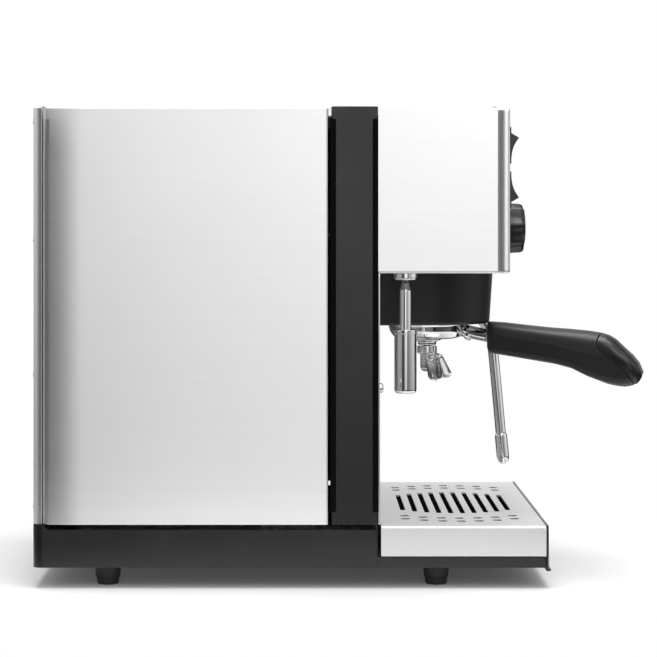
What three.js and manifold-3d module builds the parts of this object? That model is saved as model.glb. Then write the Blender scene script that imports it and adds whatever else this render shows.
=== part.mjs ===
// A single-boiler home espresso machine as an assembly of separate pieces.
// Millimetres, +Z up. The front faces -Y and the user's left is -X.
// Depths are counted forwards from the rear face, so a depth d lies at y = -d.
// At the end the whole machine is moved so that its box is centred on x = y = 0.

import * as THREE from 'three';
import { mergeVertices } from 'three/addons/utils/BufferGeometryUtils.js';
import Module from 'manifold-3d';

const wasm = await Module();
wasm.setup();

// ---- Driving dimensions ----

// The whole machine
const width = 235;
const height = 340;
const cabinetDepth = 208.7;
const columnGap = 2.2;
const columnDepth = 32.7;
const headDepth = 84.5;
const headHeight = 116.7;
const frontPanelDepth = 8.8;
const trayDepth = 116.4;

// Sheet thicknesses and the clearances between pieces
const sheet = 1.2;
const frameSheet = 2;
const seatGap = 0.3;
const looseGap = 0.8;
const runningGap = 0.08;

// Base, feet and drip tray
const footHeight = 14.8;
const footTopRadius = 9.5;
const footBottomRadius = 7.5;
const footInset = 22.5;
const rearFootDepth = 51.4;
const frontFootSetback = 76;
const baseHeight = 29.9;
const rearCornerRadius = 6.5;
const trayCoverDrop = 21.2;
const trayPlate = 1.5;
const trayLip = 3;
const slotWidth = 3.8;
const slotPitch = 8.68;
const slotCount = 10;
const slotFieldRadius = 56;
const roundHoleRadius = 3.5;
const roundHolePitch = 13.1;
const roundHoleColumns = 7;
const roundHoleReach = 94;
const roundHoleRowGap = 14.4;
const roundHoleArc = 71;

// Panels and top tray
const rearWrap = 6.7;
const flange = 12;
const rimProud = 1.1;
const topTrayDepth = 8;
const topTrayInset = 5;

// Water tank
const tankSideSpace = 29.5;
const tankDepth = 132;
const tankRear = 16;
const tankBottom = 50;
const tankWall = 2.5;
const spigotRadius = 7;
const spigotLength = 8;
const couplingRadius = 12;

// Brewing group and boiler
const ringWall = 2.8;
const ringSetback = 2.2;
const groupCoverSpace = 10.4;
const groupCoverTaper = 2.7;
const groupCoverHeight = 40.9;
const groupCoverWall = 2;
const groupNeckRadius = 30;
const rimRadius = 33;
const rimRise = 13.9;
const basketRadius = 28.6;
const basketWall = 1;
const lugReach = 3.2;
const lugHeight = 4.8;
const lugHalfAngle = 26;
const boilerRadius = 34;
const boilerHeight = 66;

// Portafilter and its handle
const lockAngle = -17;
const unlockTurn = -43;
const outletRadius = 3.4;
const neckRadius = 4.9;
const tangRadius = 3.6;
const tangLength = 28;
const handleGap = 0.5;
const handleWidth = 28;
const handleRound = 7;
const spoutSpread = 45;
const spoutReach = 13.4;
const spoutRadius = 4.7;

// Controls on the front panel
const switchWidth = 20.6;
const switchHeight = 26.4;
const switchWall = 1;
const switchInsets = [30.5, 57.5];
const switchRows = [25.7, 57.7];
const rockerTilt = 19;
const lampRadius = 4;
const lampInset = 83.5;
const knobInset = 45.5;
const knobDrop = 86.7;
const knobRadius = 20.3;
const knobProud = 30.7;
const knobLobes = 10;
const spindleRadius = 4;

// Discharge pipe and steam wand
const dischargeInset = 27.5;
const dischargeSetback = 21;
const wandInset = 32.5;
const wandClearance = 44.1;
const wandReach = 25.5;
const wandRadius = 4.15;
const wandSlope = 0.094;
const nozzleRadius = 5;
const nozzleLength = 25;

// ---- Places worked out from them ----

const side = width / 2;
const tankWidth = width - 2 * tankSideSpace;
const knobX = side - knobInset;
const dischargeX = dischargeInset - side;
const wandX = side - wandInset;
const cavityRadius = rimRadius + lugReach + 0.6;
const groupRingRadius = cavityRadius + ringWall;
const groupReach = groupRingRadius + ringSetback;
const groupCoverRadius = groupRingRadius + groupCoverSpace;
const handleStart = groupCoverRadius - groupCoverTaper + handleGap;
const columnRear = cabinetDepth + columnGap;
const columnFront = columnRear + columnDepth;
const headFront = columnFront + headDepth;
const plateFront = headFront + frontPanelDepth;
const splashFront = columnFront + seatGap + sheet;
const trayRear = splashFront + looseGap;
const trayFront = trayRear + trayDepth;
const baseDepth = trayFront - seatGap;
const baseTop = footHeight + baseHeight;
const trayTop = baseTop - 0.6;
const panelTop = height - rimProud;
const headBottom = panelTop - headHeight;
const topFloor = height - topTrayDepth;
const groupDepth = columnFront + groupReach;
const tankTop = topFloor - 10;
const boilerBottom = headBottom + sheet + 0.6;
const shelfTop = footHeight + frameSheet;
const panBottom = trayTop - trayCoverDrop - seatGap;

// ---- Finishes ----

function finish(color, roughness, metalness) {
  return new THREE.MeshStandardMaterial({ color, roughness, metalness });
}

const brushed = finish(0xc9cacb, 0.35, 1);
const polished = finish(0xdcdddf, 0.08, 1);
const blackPaint = finish(0x2b2b2c, 0.5, 0.2);
const blackPlastic = finish(0x1c1c1d, 0.45, 0);
const rubber = finish(0x151515, 0.8, 0);
const brass = finish(0xb59a5a, 0.35, 1);
const alloy = finish(0xa7a9ab, 0.45, 1);
const copper = finish(0xb87349, 0.3, 1);
const clearPlastic = finish(0xdfe6ea, 0.15, 0);
const redLens = finish(0xb0251c, 0.2, 0);
const amberLens = finish(0xd98a1d, 0.2, 0);
const pumpPlastic = finish(0xd8d6cf, 0.5, 0);

// ---- Making and cutting solids ----

function toSolid(geometry) {
  const bare = geometry.clone();
  bare.deleteAttribute('normal');
  bare.deleteAttribute('uv');
  const merged = mergeVertices(bare, 1e-4);
  const corners = merged.index.array;
  const kept = [];
  for (let i = 0; i < corners.length; i += 3) {
    const [a, b, c] = [corners[i], corners[i + 1], corners[i + 2]];
    if (a !== b && b !== c && c !== a) kept.push(a, b, c);
  }
  return new wasm.Manifold(new wasm.Mesh({
    numProp: 3,
    vertProperties: new Float32Array(merged.attributes.position.array),
    triVerts: new Uint32Array(kept),
  }));
}

function toGeometry(solid) {
  const mesh = solid.getMesh();
  const geometry = new THREE.BufferGeometry();
  const places = new Float32Array(mesh.vertProperties);
  geometry.setAttribute('position', new THREE.BufferAttribute(places, 3));
  geometry.setIndex(new THREE.BufferAttribute(new Uint32Array(mesh.triVerts), 1));
  geometry.computeVertexNormals();
  return geometry;
}

function join(first, ...others) {
  return toGeometry(others.reduce((whole, other) => whole.add(toSolid(other)), toSolid(first)));
}

function cut(first, ...tools) {
  return toGeometry(tools.reduce((rest, tool) => rest.subtract(toSolid(tool)), toSolid(first)));
}

function overlapOf(first, second) {
  return toGeometry(toSolid(first).intersect(toSolid(second)));
}

// A box between two x, two depths and two heights.
function block(x0, x1, d0, d1, z0, z1) {
  const box = new THREE.BoxGeometry(x1 - x0, d1 - d0, z1 - z0);
  return box.translate((x0 + x1) / 2, -(d0 + d1) / 2, (z0 + z1) / 2);
}

// An upright rod, which may taper.
function rod(radius, z0, z1, x = 0, d = 0, topRadius = radius, sides = 24) {
  const cylinder = new THREE.CylinderGeometry(topRadius, radius, z1 - z0, sides);
  return cylinder.rotateX(Math.PI / 2).translate(x, -d, (z0 + z1) / 2);
}

// A rod that runs from one depth to another.
function pin(radius, d0, d1, x, z, sides = 24) {
  const cylinder = new THREE.CylinderGeometry(radius, radius, d1 - d0, sides);
  return cylinder.translate(x, -(d0 + d1) / 2, z);
}

// A rod between two points, each given as [x, d, z].
function strut(from, to, radius, sides = 16) {
  const start = new THREE.Vector3(from[0], -from[1], from[2]);
  const end = new THREE.Vector3(to[0], -to[1], to[2]);
  const along = end.clone().sub(start);
  const turn = new THREE.Quaternion().setFromUnitVectors(
    new THREE.Vector3(0, 1, 0), along.clone().normalize());
  const cylinder = new THREE.CylinderGeometry(radius, radius, along.length(), sides);
  cylinder.applyQuaternion(turn);
  const middle = start.add(end).multiplyScalar(0.5);
  return cylinder.translate(middle.x, middle.y, middle.z);
}

// A piece turned on an upright axis, from [radius, height] pairs listed anticlockwise.
function turned(profile, x = 0, d = 0, sides = 24) {
  const points = profile.map(([r, z]) => new THREE.Vector2(r, z));
  return new THREE.LatheGeometry(points, sides).rotateX(Math.PI / 2).translate(x, -d, 0);
}

// A tube through points given as [x, d, z].
function pipe(route, radius, steps, sides = 10) {
  const points = route.map(([x, d, z]) => new THREE.Vector3(x, -d, z));
  const section = new THREE.Shape().absarc(0, 0, radius, 0, 2 * Math.PI);
  return new THREE.ExtrudeGeometry(section, {
    steps, curveSegments: sides / 2, extrudePath: new THREE.CatmullRomCurve3(points) });
}

// A rectangle with one radius for the corners at low y and one for those at high y.
function roundedRect(x0, x1, y0, y1, lowRadius, highRadius = lowRadius) {
  const shape = new THREE.Shape();
  shape.moveTo(x0 + lowRadius, y0);
  shape.lineTo(x1 - lowRadius, y0);
  shape.absarc(x1 - lowRadius, y0 + lowRadius, lowRadius, -Math.PI / 2, 0);
  shape.lineTo(x1, y1 - highRadius);
  shape.absarc(x1 - highRadius, y1 - highRadius, highRadius, 0, Math.PI / 2);
  shape.lineTo(x0 + highRadius, y1);
  shape.absarc(x0 + highRadius, y1 - highRadius, highRadius, Math.PI / 2, Math.PI);
  shape.lineTo(x0, y0 + lowRadius);
  shape.absarc(x0 + lowRadius, y0 + lowRadius, lowRadius, Math.PI, 1.5 * Math.PI);
  return shape;
}

// A plan outline, in x and y, raised between two heights.
function slab(shape, z0, z1, curveSegments = 3) {
  const body = new THREE.ExtrudeGeometry(shape, {
    depth: z1 - z0, bevelEnabled: false, curveSegments });
  return body.translate(0, 0, z0);
}

// A plan rectangle between two depths, with rounded rear and front corners.
function plate(x0, x1, d0, d1, z0, z1, rearRadius = 1, frontRadius = rearRadius) {
  return slab(roundedRect(x0, x1, -d1, -d0, frontRadius, rearRadius), z0, z1);
}

// A front-view outline, in x and z, carried from one depth to another.
function facing(shape, d0, d1, curveSegments = 2) {
  const body = new THREE.ExtrudeGeometry(shape, {
    depth: d1 - d0, bevelEnabled: false, curveSegments });
  return body.rotateX(Math.PI / 2).translate(0, -d0, 0);
}

// A side-view outline of [d, z] pairs, carried across from x0 to x1.
function across(outline, x0, x1) {
  const shape = new THREE.Shape(outline.map(([d, z]) => new THREE.Vector2(-d, z)));
  const body = new THREE.ExtrudeGeometry(shape, { depth: x1 - x0, bevelEnabled: false });
  const toSide = new THREE.Matrix4().makeBasis(
    new THREE.Vector3(0, 1, 0), new THREE.Vector3(0, 0, 1), new THREE.Vector3(1, 0, 0));
  return body.applyMatrix4(toSide).translate(x0, 0, 0);
}

// Part of a flat ring between two angles in degrees, about the z axis.
function ringSector(inner, outer, z0, z1, middleAngle, halfAngle) {
  const start = THREE.MathUtils.degToRad(middleAngle - halfAngle);
  const end = THREE.MathUtils.degToRad(middleAngle + halfAngle);
  const shape = new THREE.Shape();
  shape.moveTo(inner * Math.cos(start), inner * Math.sin(start));
  shape.absarc(0, 0, outer, start, end, false);
  shape.absarc(0, 0, inner, end, start, true);
  return slab(shape, z0, z1, 6);
}

const machine = new THREE.Group();

function add(name, geometry, material, parent = machine) {
  const mesh = new THREE.Mesh(geometry, material);
  mesh.name = name;
  parent.add(mesh);
  return mesh;
}

const sides = [['left', -1], ['right', 1]];

// ---- Base frame and feet ----

// Two painted tubs in one pressing: a deep one under the cabinet and a low shelf under the tray.
function makeBase() {
  const wallTop = panBottom - seatGap;
  const stepDepth = columnFront + 1.5;
  const outer = plate(-side, side, 0, baseDepth, footHeight, baseTop, rearCornerRadius, 1);
  const inside = side - frameSheet;
  const rearWell = plate(-inside, inside, frameSheet, columnFront - frameSheet,
    shelfTop, baseTop + 1, rearCornerRadius - frameSheet, 1);
  const frontWell = block(-inside, inside, stepDepth, baseDepth - frameSheet, shelfTop, baseTop + 1);
  const aboveShelf = block(-side - 1, side + 1, stepDepth, baseDepth + 1, wallTop, baseTop + 1);
  return cut(outer, rearWell, frontWell, aboveShelf);
}

add('base_frame', makeBase(), blackPaint);

const footProfile = [
  [0, 4], [3.2, 4], [3.2, 0], [footBottomRadius - 0.8, 0], [footBottomRadius, 0.8],
  [footTopRadius, footHeight - seatGap - 1], [footTopRadius, footHeight - seatGap],
  [0, footHeight - seatGap],
];
const footDepths = [['rear', rearFootDepth], ['front', baseDepth - frontFootSetback]];
for (const [end, depth] of footDepths) {
  for (const [hand, sign] of sides) {
    add(`foot_${end}_${hand}`, turned(footProfile, sign * (side - footInset), depth, 16), rubber);
  }
}

// ---- Painted front column ----

const splashScrewX = side - 9;
const splashScrewZ = baseTop + 96;

function makeColumn() {
  const inside = side - frameSheet;
  const wallRear = columnFront - frameSheet;
  const outer = block(-side, side, columnRear, columnFront, baseTop + seatGap, height);
  const hollow = block(-inside, inside, columnRear - 1, wallRear, 0, height + 1);
  const window = block(-side + 20, side - 20, wallRear - 1, columnFront + 1,
    headBottom + 10, topFloor - 8);
  const topNotch = block(-inside, inside, wallRear - 1, columnFront + 1,
    topFloor - seatGap, height + 1);
  return cut(outer, hollow, window, topNotch, ...splashScrewHoles());
}

function splashScrewHoles() {
  return sides.map(([, sign]) => pin(1.8, columnFront - frameSheet - 1, splashFront + 1,
    sign * splashScrewX, splashScrewZ, 12));
}

add('front_column', makeColumn(), blackPaint);

add('splash_panel', cut(
  block(-side, side, columnFront + seatGap, splashFront, baseTop + seatGap, headBottom - seatGap),
  ...splashScrewHoles()), brushed);

for (const [hand, sign] of sides) {
  const profile = [
    [0, 0], [1.4, 0], [1.4, frameSheet + sheet + 2 * seatGap],
    [3.4, frameSheet + sheet + 2 * seatGap], [3.4, frameSheet + sheet + 1.4],
    [2.2, frameSheet + sheet + 2.3], [0, frameSheet + sheet + 2.6],
  ];
  const screw = turned(profile, 0, 0, 16).rotateX(Math.PI / 2);
  screw.translate(sign * splashScrewX, -(columnFront - frameSheet), splashScrewZ);
  add(`splash_screw_${hand}`, screw, polished);
}

// ---- Cabinet panels ----

// A stainless side with its front and rear edges folded in, below the top tray.
function makeSidePanel(sign) {
  const rear = rearWrap + seatGap;
  const bottom = baseTop + seatGap;
  const xs = (a, b) => (sign > 0 ? [a, b] : [-b, -a]);
  const outer = block(...xs(side - flange, side), rear, cabinetDepth, bottom, panelTop);
  const hollow = block(...xs(side - flange - 1, side - sheet), rear + sheet, cabinetDepth - sheet,
    bottom - 1, height);
  const topRelief = block(...xs(side - flange - 1, side - sheet), rear - 1, cabinetDepth + 1,
    topFloor - seatGap, height);
  return cut(outer, hollow, topRelief);
}

for (const [hand, sign] of sides) {
  add(`${hand}_side_panel`, makeSidePanel(sign), brushed);
}

const inletX = side - 42;
const inletZ = baseTop + 34;
const inletWidth = 28;
const inletHeight = 20;

// The rear sheet wraps round both upright corners and is cut for the inlet and air slots.
function makeRearPanel() {
  const outer = plate(-side, side, 0, rearWrap, baseTop + seatGap, panelTop, rearCornerRadius, 0.1);
  const inside = side - sheet;
  const hollow = plate(-inside, inside, sheet, rearWrap + 2, 0, height,
    rearCornerRadius - sheet, 0.1);
  const inletHole = block(inletX - inletWidth / 2, inletX + inletWidth / 2, -1, sheet + 1,
    inletZ - inletHeight / 2, inletZ + inletHeight / 2);
  const airSlots = [];
  for (let row = 0; row < 6; row += 1) {
    const z = panelTop - 60 + row * 7;
    airSlots.push(block(-60, 60, -1, sheet + 1, z, z + 3));
  }
  return cut(outer, hollow, inletHole, ...airSlots);
}

add('rear_panel', makeRearPanel(), brushed);

function makeInlet() {
  const face = sheet + seatGap;
  const depth = tankRear - face - looseGap;
  const rim = block(inletX - inletWidth / 2 - 4, inletX + inletWidth / 2 + 4, face, face + 2.5,
    inletZ - inletHeight / 2 - 4, inletZ + inletHeight / 2 + 4);
  const body = block(inletX - inletWidth / 2, inletX + inletWidth / 2, face + 1, face + depth,
    inletZ - inletHeight / 2, inletZ + inletHeight / 2);
  const socket = block(inletX - inletWidth / 2 + 2, inletX + inletWidth / 2 - 2, face - 1,
    face + depth - 3, inletZ - inletHeight / 2 + 2, inletZ + inletHeight / 2 - 2);
  const blades = [[-7, 1], [0, -2.5], [7, 1]].map(([x, z]) => block(inletX + x - 1, inletX + x + 1,
    face + 3, face + depth - 2, inletZ + z - 2, inletZ + z + 2));
  return join(cut(join(rim, body), socket), ...blades);
}

add('power_inlet', makeInlet(), blackPlastic);

// ---- Slotted top tray, tank and lid ----

const topInside = side - frameSheet - seatGap;
const topFront = headFront - 0.5;
const tankFront = tankRear + tankDepth;
const openingMargin = 3;

function makeTopTray() {
  const outer = plate(-topInside, topInside, topTrayInset, topFront, topFloor, height, 4);
  const inner = plate(-topInside + sheet, topInside - sheet, topTrayInset + sheet, topFront - sheet,
    topFloor + sheet, height + 1, 3);
  const opening = plate(-tankWidth / 2 - openingMargin, tankWidth / 2 + openingMargin,
    tankRear - openingMargin, tankFront + openingMargin, topFloor - 1, topFloor + sheet + 1, 8);
  const slots = [];
  for (let i = 0; i < 9; i += 1) {
    const d = groupDepth - 32 + i * 8;
    slots.push(slab(roundedRect(-55, 55, -d - 3.5, -d, 1.7), topFloor - 1, topFloor + sheet + 1, 1));
  }
  return cut(outer, inner, opening, ...slots);
}

add('top_tray', makeTopTray(), brushed);

const lidMargin = 7;
const lidBottom = topFloor + sheet + seatGap;

add('tank_lid', join(
  plate(-tankWidth / 2 - lidMargin, tankWidth / 2 + lidMargin, tankRear - lidMargin,
    tankFront + lidMargin, lidBottom, lidBottom + 1.5, 8),
  block(-22, 22, tankFront + lidMargin - 1.5, tankFront + lidMargin, lidBottom + 1,
    height - 0.6)), brushed);

const tankMiddle = tankRear + tankDepth / 2;

function makeTank() {
  const half = tankWidth / 2;
  const outer = plate(-half, half, tankRear, tankFront, tankBottom, tankTop, 10);
  const inner = plate(-half + tankWall, half - tankWall, tankRear + tankWall, tankFront - tankWall,
    tankBottom + tankWall, tankTop + 1, 10 - tankWall);
  const spigot = rod(spigotRadius, tankBottom - spigotLength, tankBottom + 1, 0, tankMiddle);
  const bore = rod(spigotRadius - 3, tankBottom - spigotLength - 1, tankBottom + tankWall + 2,
    0, tankMiddle);
  return cut(join(outer, spigot), inner, bore);
}

add('water_tank', makeTank(), clearPlastic);

const socketFloor = tankBottom - spigotLength - 1.5;
const couplingTop = tankBottom - seatGap;
const socketRadius = spigotRadius + 0.5;

add('tank_coupling', turned([
  [0, shelfTop + seatGap], [couplingRadius + 6, shelfTop + seatGap],
  [couplingRadius + 6, shelfTop + seatGap + 3], [couplingRadius, shelfTop + seatGap + 6],
  [couplingRadius, couplingTop], [socketRadius, couplingTop], [socketRadius, socketFloor],
  [0, socketFloor],
], 0, tankMiddle), pumpPlastic);

// ---- Head ----

const groupHoleRadius = groupNeckRadius + 1.5;
const wandDepth = groupDepth + wandReach;
const dischargeDepth = groupDepth - dischargeSetback;
const knobZ = panelTop - knobDrop;

// Both sides and the floor are one folded sheet.
function makeHeadShell() {
  const rear = columnFront + seatGap;
  const outer = block(-side, side, rear, headFront, headBottom, panelTop);
  const hollow = block(-side + sheet, side - sheet, rear - 1, headFront + 1,
    headBottom + sheet, height);
  const holes = [
    rod(groupHoleRadius, headBottom - 1, headBottom + 3, 0, groupDepth),
    rod(3.2, headBottom - 1, headBottom + 3, dischargeX, dischargeDepth, 3.2, 16),
    rod(wandRadius + 2, headBottom - 1, headBottom + 3, wandX, wandDepth, wandRadius + 2, 16),
  ];
  return cut(outer, hollow, ...holes);
}

add('head_shell', makeHeadShell(), brushed);

const switchPlaces = switchRows.flatMap((drop, row) => switchInsets.map((inset, column) => ({
  name: `${['upper', 'lower'][row]}_${['left', 'right'][column]}`,
  x: inset - side,
  z: panelTop - drop,
  tilt: row === 0 ? rockerTilt : -rockerTilt,
})));
const lampPlaces = switchRows.map((drop, row) => ({
  name: ['upper', 'lower'][row], x: lampInset - side, z: panelTop - drop,
  lens: [redLens, amberLens][row],
}));
const switchCutWidth = switchWidth - 2;
const switchCutHeight = switchHeight - 2;
const lampCutRadius = lampRadius + seatGap;

// A shallow pan that closes the head, cut for the switches, lamps and steam spindle.
function makeFrontPanel() {
  const rear = headFront + seatGap;
  const outer = facing(roundedRect(-side, side, headBottom, panelTop, 1.5), rear, plateFront);
  const hollow = facing(roundedRect(-side + sheet, side - sheet, headBottom + sheet,
    panelTop - sheet, 0.8), rear - 1, plateFront - sheet);
  const switchHoles = switchPlaces.map(({ x, z }) => block(x - switchCutWidth / 2,
    x + switchCutWidth / 2, plateFront - 3, plateFront + 1,
    z - switchCutHeight / 2, z + switchCutHeight / 2));
  const lampHoles = lampPlaces.map(({ x, z }) => pin(lampCutRadius, plateFront - 3, plateFront + 1,
    x, z, 20));
  const spindleHole = pin(spindleRadius + 1.5, plateFront - 3, plateFront + 1, knobX, knobZ, 24);
  return cut(outer, hollow, ...switchHoles, ...lampHoles, spindleHole);
}

add('front_panel', makeFrontPanel(), brushed);

// ---- Rocker switches ----

const bezelProud = 2.8;
const housingDepth = 22;
const rockerPivot = plateFront - 1.5;
const rockerReach = 7.8;
const rockerWidth = switchCutWidth - 2 * (switchWall + 2 * seatGap);
const wellHeight = switchCutHeight - 2 * (seatGap + 0.6);
const rockerShoulder = wellHeight / 2 - 1.4;
const rockerTip = rockerShoulder - 1.4;
const rockerBelly = rockerShoulder - 0.9;

// The bezel rests on the panel and its box passes through the cut-out.
function makeHousing(x, z) {
  const bezel = facing(roundedRect(x - switchWidth / 2, x + switchWidth / 2,
    z - switchHeight / 2, z + switchHeight / 2, 1.5), plateFront + seatGap, plateFront + bezelProud);
  const body = block(x - switchCutWidth / 2 + seatGap, x + switchCutWidth / 2 - seatGap,
    plateFront - housingDepth, plateFront + 1,
    z - switchCutHeight / 2 + seatGap, z + switchCutHeight / 2 - seatGap);
  const well = block(x - rockerWidth / 2 - seatGap, x + rockerWidth / 2 + seatGap,
    plateFront - housingDepth + 4, plateFront + bezelProud + 1,
    z - wellHeight / 2, z + wellHeight / 2);
  return cut(join(bezel, body), well);
}

// Side view about its pivot: a round belly behind and a hollowed face in front.
function makeRocker() {
  const outline = [];
  for (let i = 0; i <= 8; i += 1) {
    const angle = Math.PI * (i / 8 - 0.5);
    outline.push([-rockerBelly * Math.cos(angle), -rockerBelly * Math.sin(angle)]);
  }
  const face = [
    [0.5, -rockerShoulder], [rockerReach, -rockerTip], [rockerReach - 1.2, -rockerTip / 2],
    [rockerReach - 1.6, 0], [rockerReach - 1.2, rockerTip / 2], [rockerReach, rockerTip],
    [0.5, rockerShoulder],
  ];
  return across([...outline, ...face], -rockerWidth / 2, rockerWidth / 2);
}

for (const { name, x, z, tilt } of switchPlaces) {
  add(`switch_housing_${name}`, makeHousing(x, z), blackPlastic);
  const rocker = add(`rocker_${name}`, makeRocker(), blackPlastic);
  rocker.position.set(x, -rockerPivot, z);
  rocker.rotation.x = THREE.MathUtils.degToRad(tilt);
}

// ---- Indicator lamps ----

for (const { name, x, z, lens } of lampPlaces) {
  const profile = [
    [0, 0], [lampRadius, 0], [lampRadius, 14 + seatGap], [lampRadius + 1.2, 14 + seatGap],
    [lampRadius + 1.2, 15.2], [lampRadius - 0.6, 16.6], [0, 17.4],
  ];
  const lamp = turned(profile, 0, 0, 20).rotateX(Math.PI / 2);
  add(`lamp_${name}`, lamp.translate(x, -(plateFront - 14), z), lens);
}

// ---- Steam valve, spindle and knob ----

const valveHalf = 11;
const valveFront = headFront - 4;
const valveRear = valveFront - 34;
const spindleRear = valveFront - 20;
const knobHubFront = plateFront + knobProud - 6;

add('steam_valve_body', cut(
  join(
    block(knobX - valveHalf, knobX + valveHalf, valveRear, valveFront - 6,
      knobZ - valveHalf, knobZ + valveHalf),
    pin(8.5, valveFront - 8, valveFront, knobX, knobZ)),
  pin(spindleRadius + runningGap, spindleRear - 0.5, valveFront + 1, knobX, knobZ)), brass);

add('steam_spindle', pin(spindleRadius, spindleRear, knobHubFront, knobX, knobZ), polished);

// The knob's rim is cut by shallow flutes all round, and it is bored for the spindle.
function makeKnob() {
  const rear = plateFront + 3;
  const body = turned([
    [0, 0], [12, 0], [14, 4], [knobRadius - 1, 6], [knobRadius, 8],
    [knobRadius, knobProud - 6], [knobRadius - 2.5, knobProud - 3.4], [0, knobProud - 3],
  ], 0, 0, 40).rotateX(Math.PI / 2).translate(knobX, -rear, knobZ);
  const flutes = [];
  for (let i = 0; i < knobLobes; i += 1) {
    const angle = 2 * Math.PI * (i + 0.5) / knobLobes;
    const reach = knobRadius + 3;
    flutes.push(pin(4, rear + 4, rear + knobProud, knobX + reach * Math.cos(angle),
      knobZ + reach * Math.sin(angle), 10));
  }
  const bore = pin(spindleRadius + seatGap, rear - 1, knobHubFront + seatGap, knobX, knobZ);
  return cut(body, ...flutes, bore);
}

add('steam_knob', makeKnob(), blackPlastic);

// ---- Boiler and what stands on it ----

const boilerTop = boilerBottom + boilerHeight;
const boilerFlange = boilerRadius + 4;

add('boiler_body', turned([
  [0, boilerBottom], [boilerFlange, boilerBottom], [boilerFlange, boilerBottom + 5],
  [boilerRadius, boilerBottom + 8], [boilerRadius, boilerTop - 6],
  [boilerFlange, boilerTop - 4], [boilerFlange, boilerTop], [0, boilerTop],
], 0, groupDepth, 28), brass);

const coverBottom = boilerTop + seatGap;
const coverTop = coverBottom + 8;

add('boiler_cover', join(
  rod(boilerFlange, coverBottom, coverTop, 0, groupDepth, boilerFlange - 1, 28),
  rod(3, coverTop - 1, coverTop + 12, -11, groupDepth + 22, 3, 12),
  rod(3, coverTop - 1, coverTop + 12, 11, groupDepth + 22, 3, 12)), brass);

const thermostatProfile = [
  [0, 0], [7.5, 0], [7.5, 4], [5.5, 5], [5.5, 9], [0, 9],
];
for (const [name, x] of [['brew', -16], ['steam', 16]]) {
  const body = turned(thermostatProfile, x, groupDepth - 6, 20);
  add(`${name}_thermostat`, body.translate(0, 0, coverTop + seatGap), alloy);
}

const steamPipeZ = coverBottom + 5;

add('steam_pipe', pipe([
  [boilerFlange + 0.6, groupDepth + 6, steamPipeZ], [boilerFlange + 12, groupDepth + 7, steamPipeZ],
  [knobX - 2, groupDepth + 4, steamPipeZ - 6], [knobX, valveRear + 16, knobZ + valveHalf + 10],
  [knobX, valveRear + 16, knobZ + valveHalf + seatGap],
], 2.5, 14, 8), copper);

const solenoidTop = headBottom + sheet + seatGap + 26;

add('solenoid_valve', join(
  block(dischargeX - 12, dischargeX + 14, dischargeDepth - 13, dischargeDepth + 13,
    headBottom + sheet + seatGap, solenoidTop),
  rod(11, solenoidTop - 1, solenoidTop + 30, dischargeX, dischargeDepth, 11, 24)), alloy);

add('valve_pipe', pipe([
  [dischargeX + 14.4, dischargeDepth, solenoidTop - 10],
  [dischargeX + 24, dischargeDepth, solenoidTop - 9],
  [-boilerFlange - 8, groupDepth - 6, solenoidTop - 6],
  [-boilerRadius - 1, groupDepth - 4, solenoidTop - 6],
], 2.5, 8, 8), copper);

// ---- Pump and feed pipe ----

const pumpX = -42;
const pumpDepth = (tankFront + columnRear) / 2;
const pumpBottom = shelfTop + 16;

add('pump_bracket', join(
  block(pumpX - 28, pumpX + 28, pumpDepth - 20, pumpDepth + 20, shelfTop + seatGap,
    shelfTop + seatGap + 1.5),
  block(pumpX - 28, pumpX - 26.5, pumpDepth - 20, pumpDepth + 20, shelfTop + 1, pumpBottom - seatGap),
  block(pumpX - 28, pumpX + 10, pumpDepth - 20, pumpDepth + 20, pumpBottom - seatGap - 1.5,
    pumpBottom - seatGap)), blackPaint);

add('pump', join(
  block(pumpX - 22, pumpX + 22, pumpDepth - 19, pumpDepth + 19, pumpBottom, pumpBottom + 48),
  rod(9, pumpBottom + 46, pumpBottom + 66, pumpX, pumpDepth, 9, 20),
  rod(5, pumpBottom + 64, pumpBottom + 78, pumpX, pumpDepth, 5, 16)), pumpPlastic);

const feedZ = boilerBottom + 24;

add('feed_pipe', pipe([
  [pumpX, pumpDepth, pumpBottom + 78 + seatGap], [pumpX, pumpDepth, feedZ - 40],
  [pumpX + 4, pumpDepth + 8, feedZ - 8], [-20, columnFront - 12, feedZ],
  [0, columnFront, feedZ], [0, groupDepth - boilerRadius - 0.6, feedZ],
], 3, 16, 8), copper);

// ---- Group head, gasket and screen ----

const groupTop = boilerBottom - seatGap;
const coverZ = headBottom - groupCoverHeight;
const rimTop = coverZ + rimRise;
const ringBottom = coverZ + 3;
const basketRim = rimTop + seatGap + basketWall;
const gasketBottom = basketRim + seatGap;
const gasketTop = gasketBottom + 8.5;
const screenRadius = basketRadius - basketWall - 0.6;
const lugTop = rimTop - looseGap;
const lugBottom = lugTop - lugHeight;
const screenBottom = gasketBottom + 0.4;
const bossBottom = screenBottom + 3.8;

// Two ledges below the portafilter's lugs hold it up, with an entry slot between each pair of ends.
function makeGroupHead() {
  const body = turned([
    [groupRingRadius, ringBottom], [groupRingRadius, gasketTop + 1],
    [groupNeckRadius, gasketTop + 7], [groupNeckRadius, groupTop], [outletRadius, groupTop],
    [outletRadius, bossBottom], [basketRadius, bossBottom], [basketRadius, gasketTop + seatGap],
    [cavityRadius, gasketTop + seatGap], [cavityRadius, ringBottom],
    [groupRingRadius, ringBottom],
  ], 0, 0, 40);
  const slotHalf = lugHalfAngle + 5;
  const ledges = [90, 270].map((turn) => ringSector(rimRadius + 0.6, cavityRadius + 1, ringBottom,
    lugBottom - seatGap, lockAngle + unlockTurn + turn, 90 - slotHalf));
  return join(body, ...ledges).translate(0, -groupDepth, 0);
}

add('group_head', makeGroupHead(), alloy);

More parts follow.
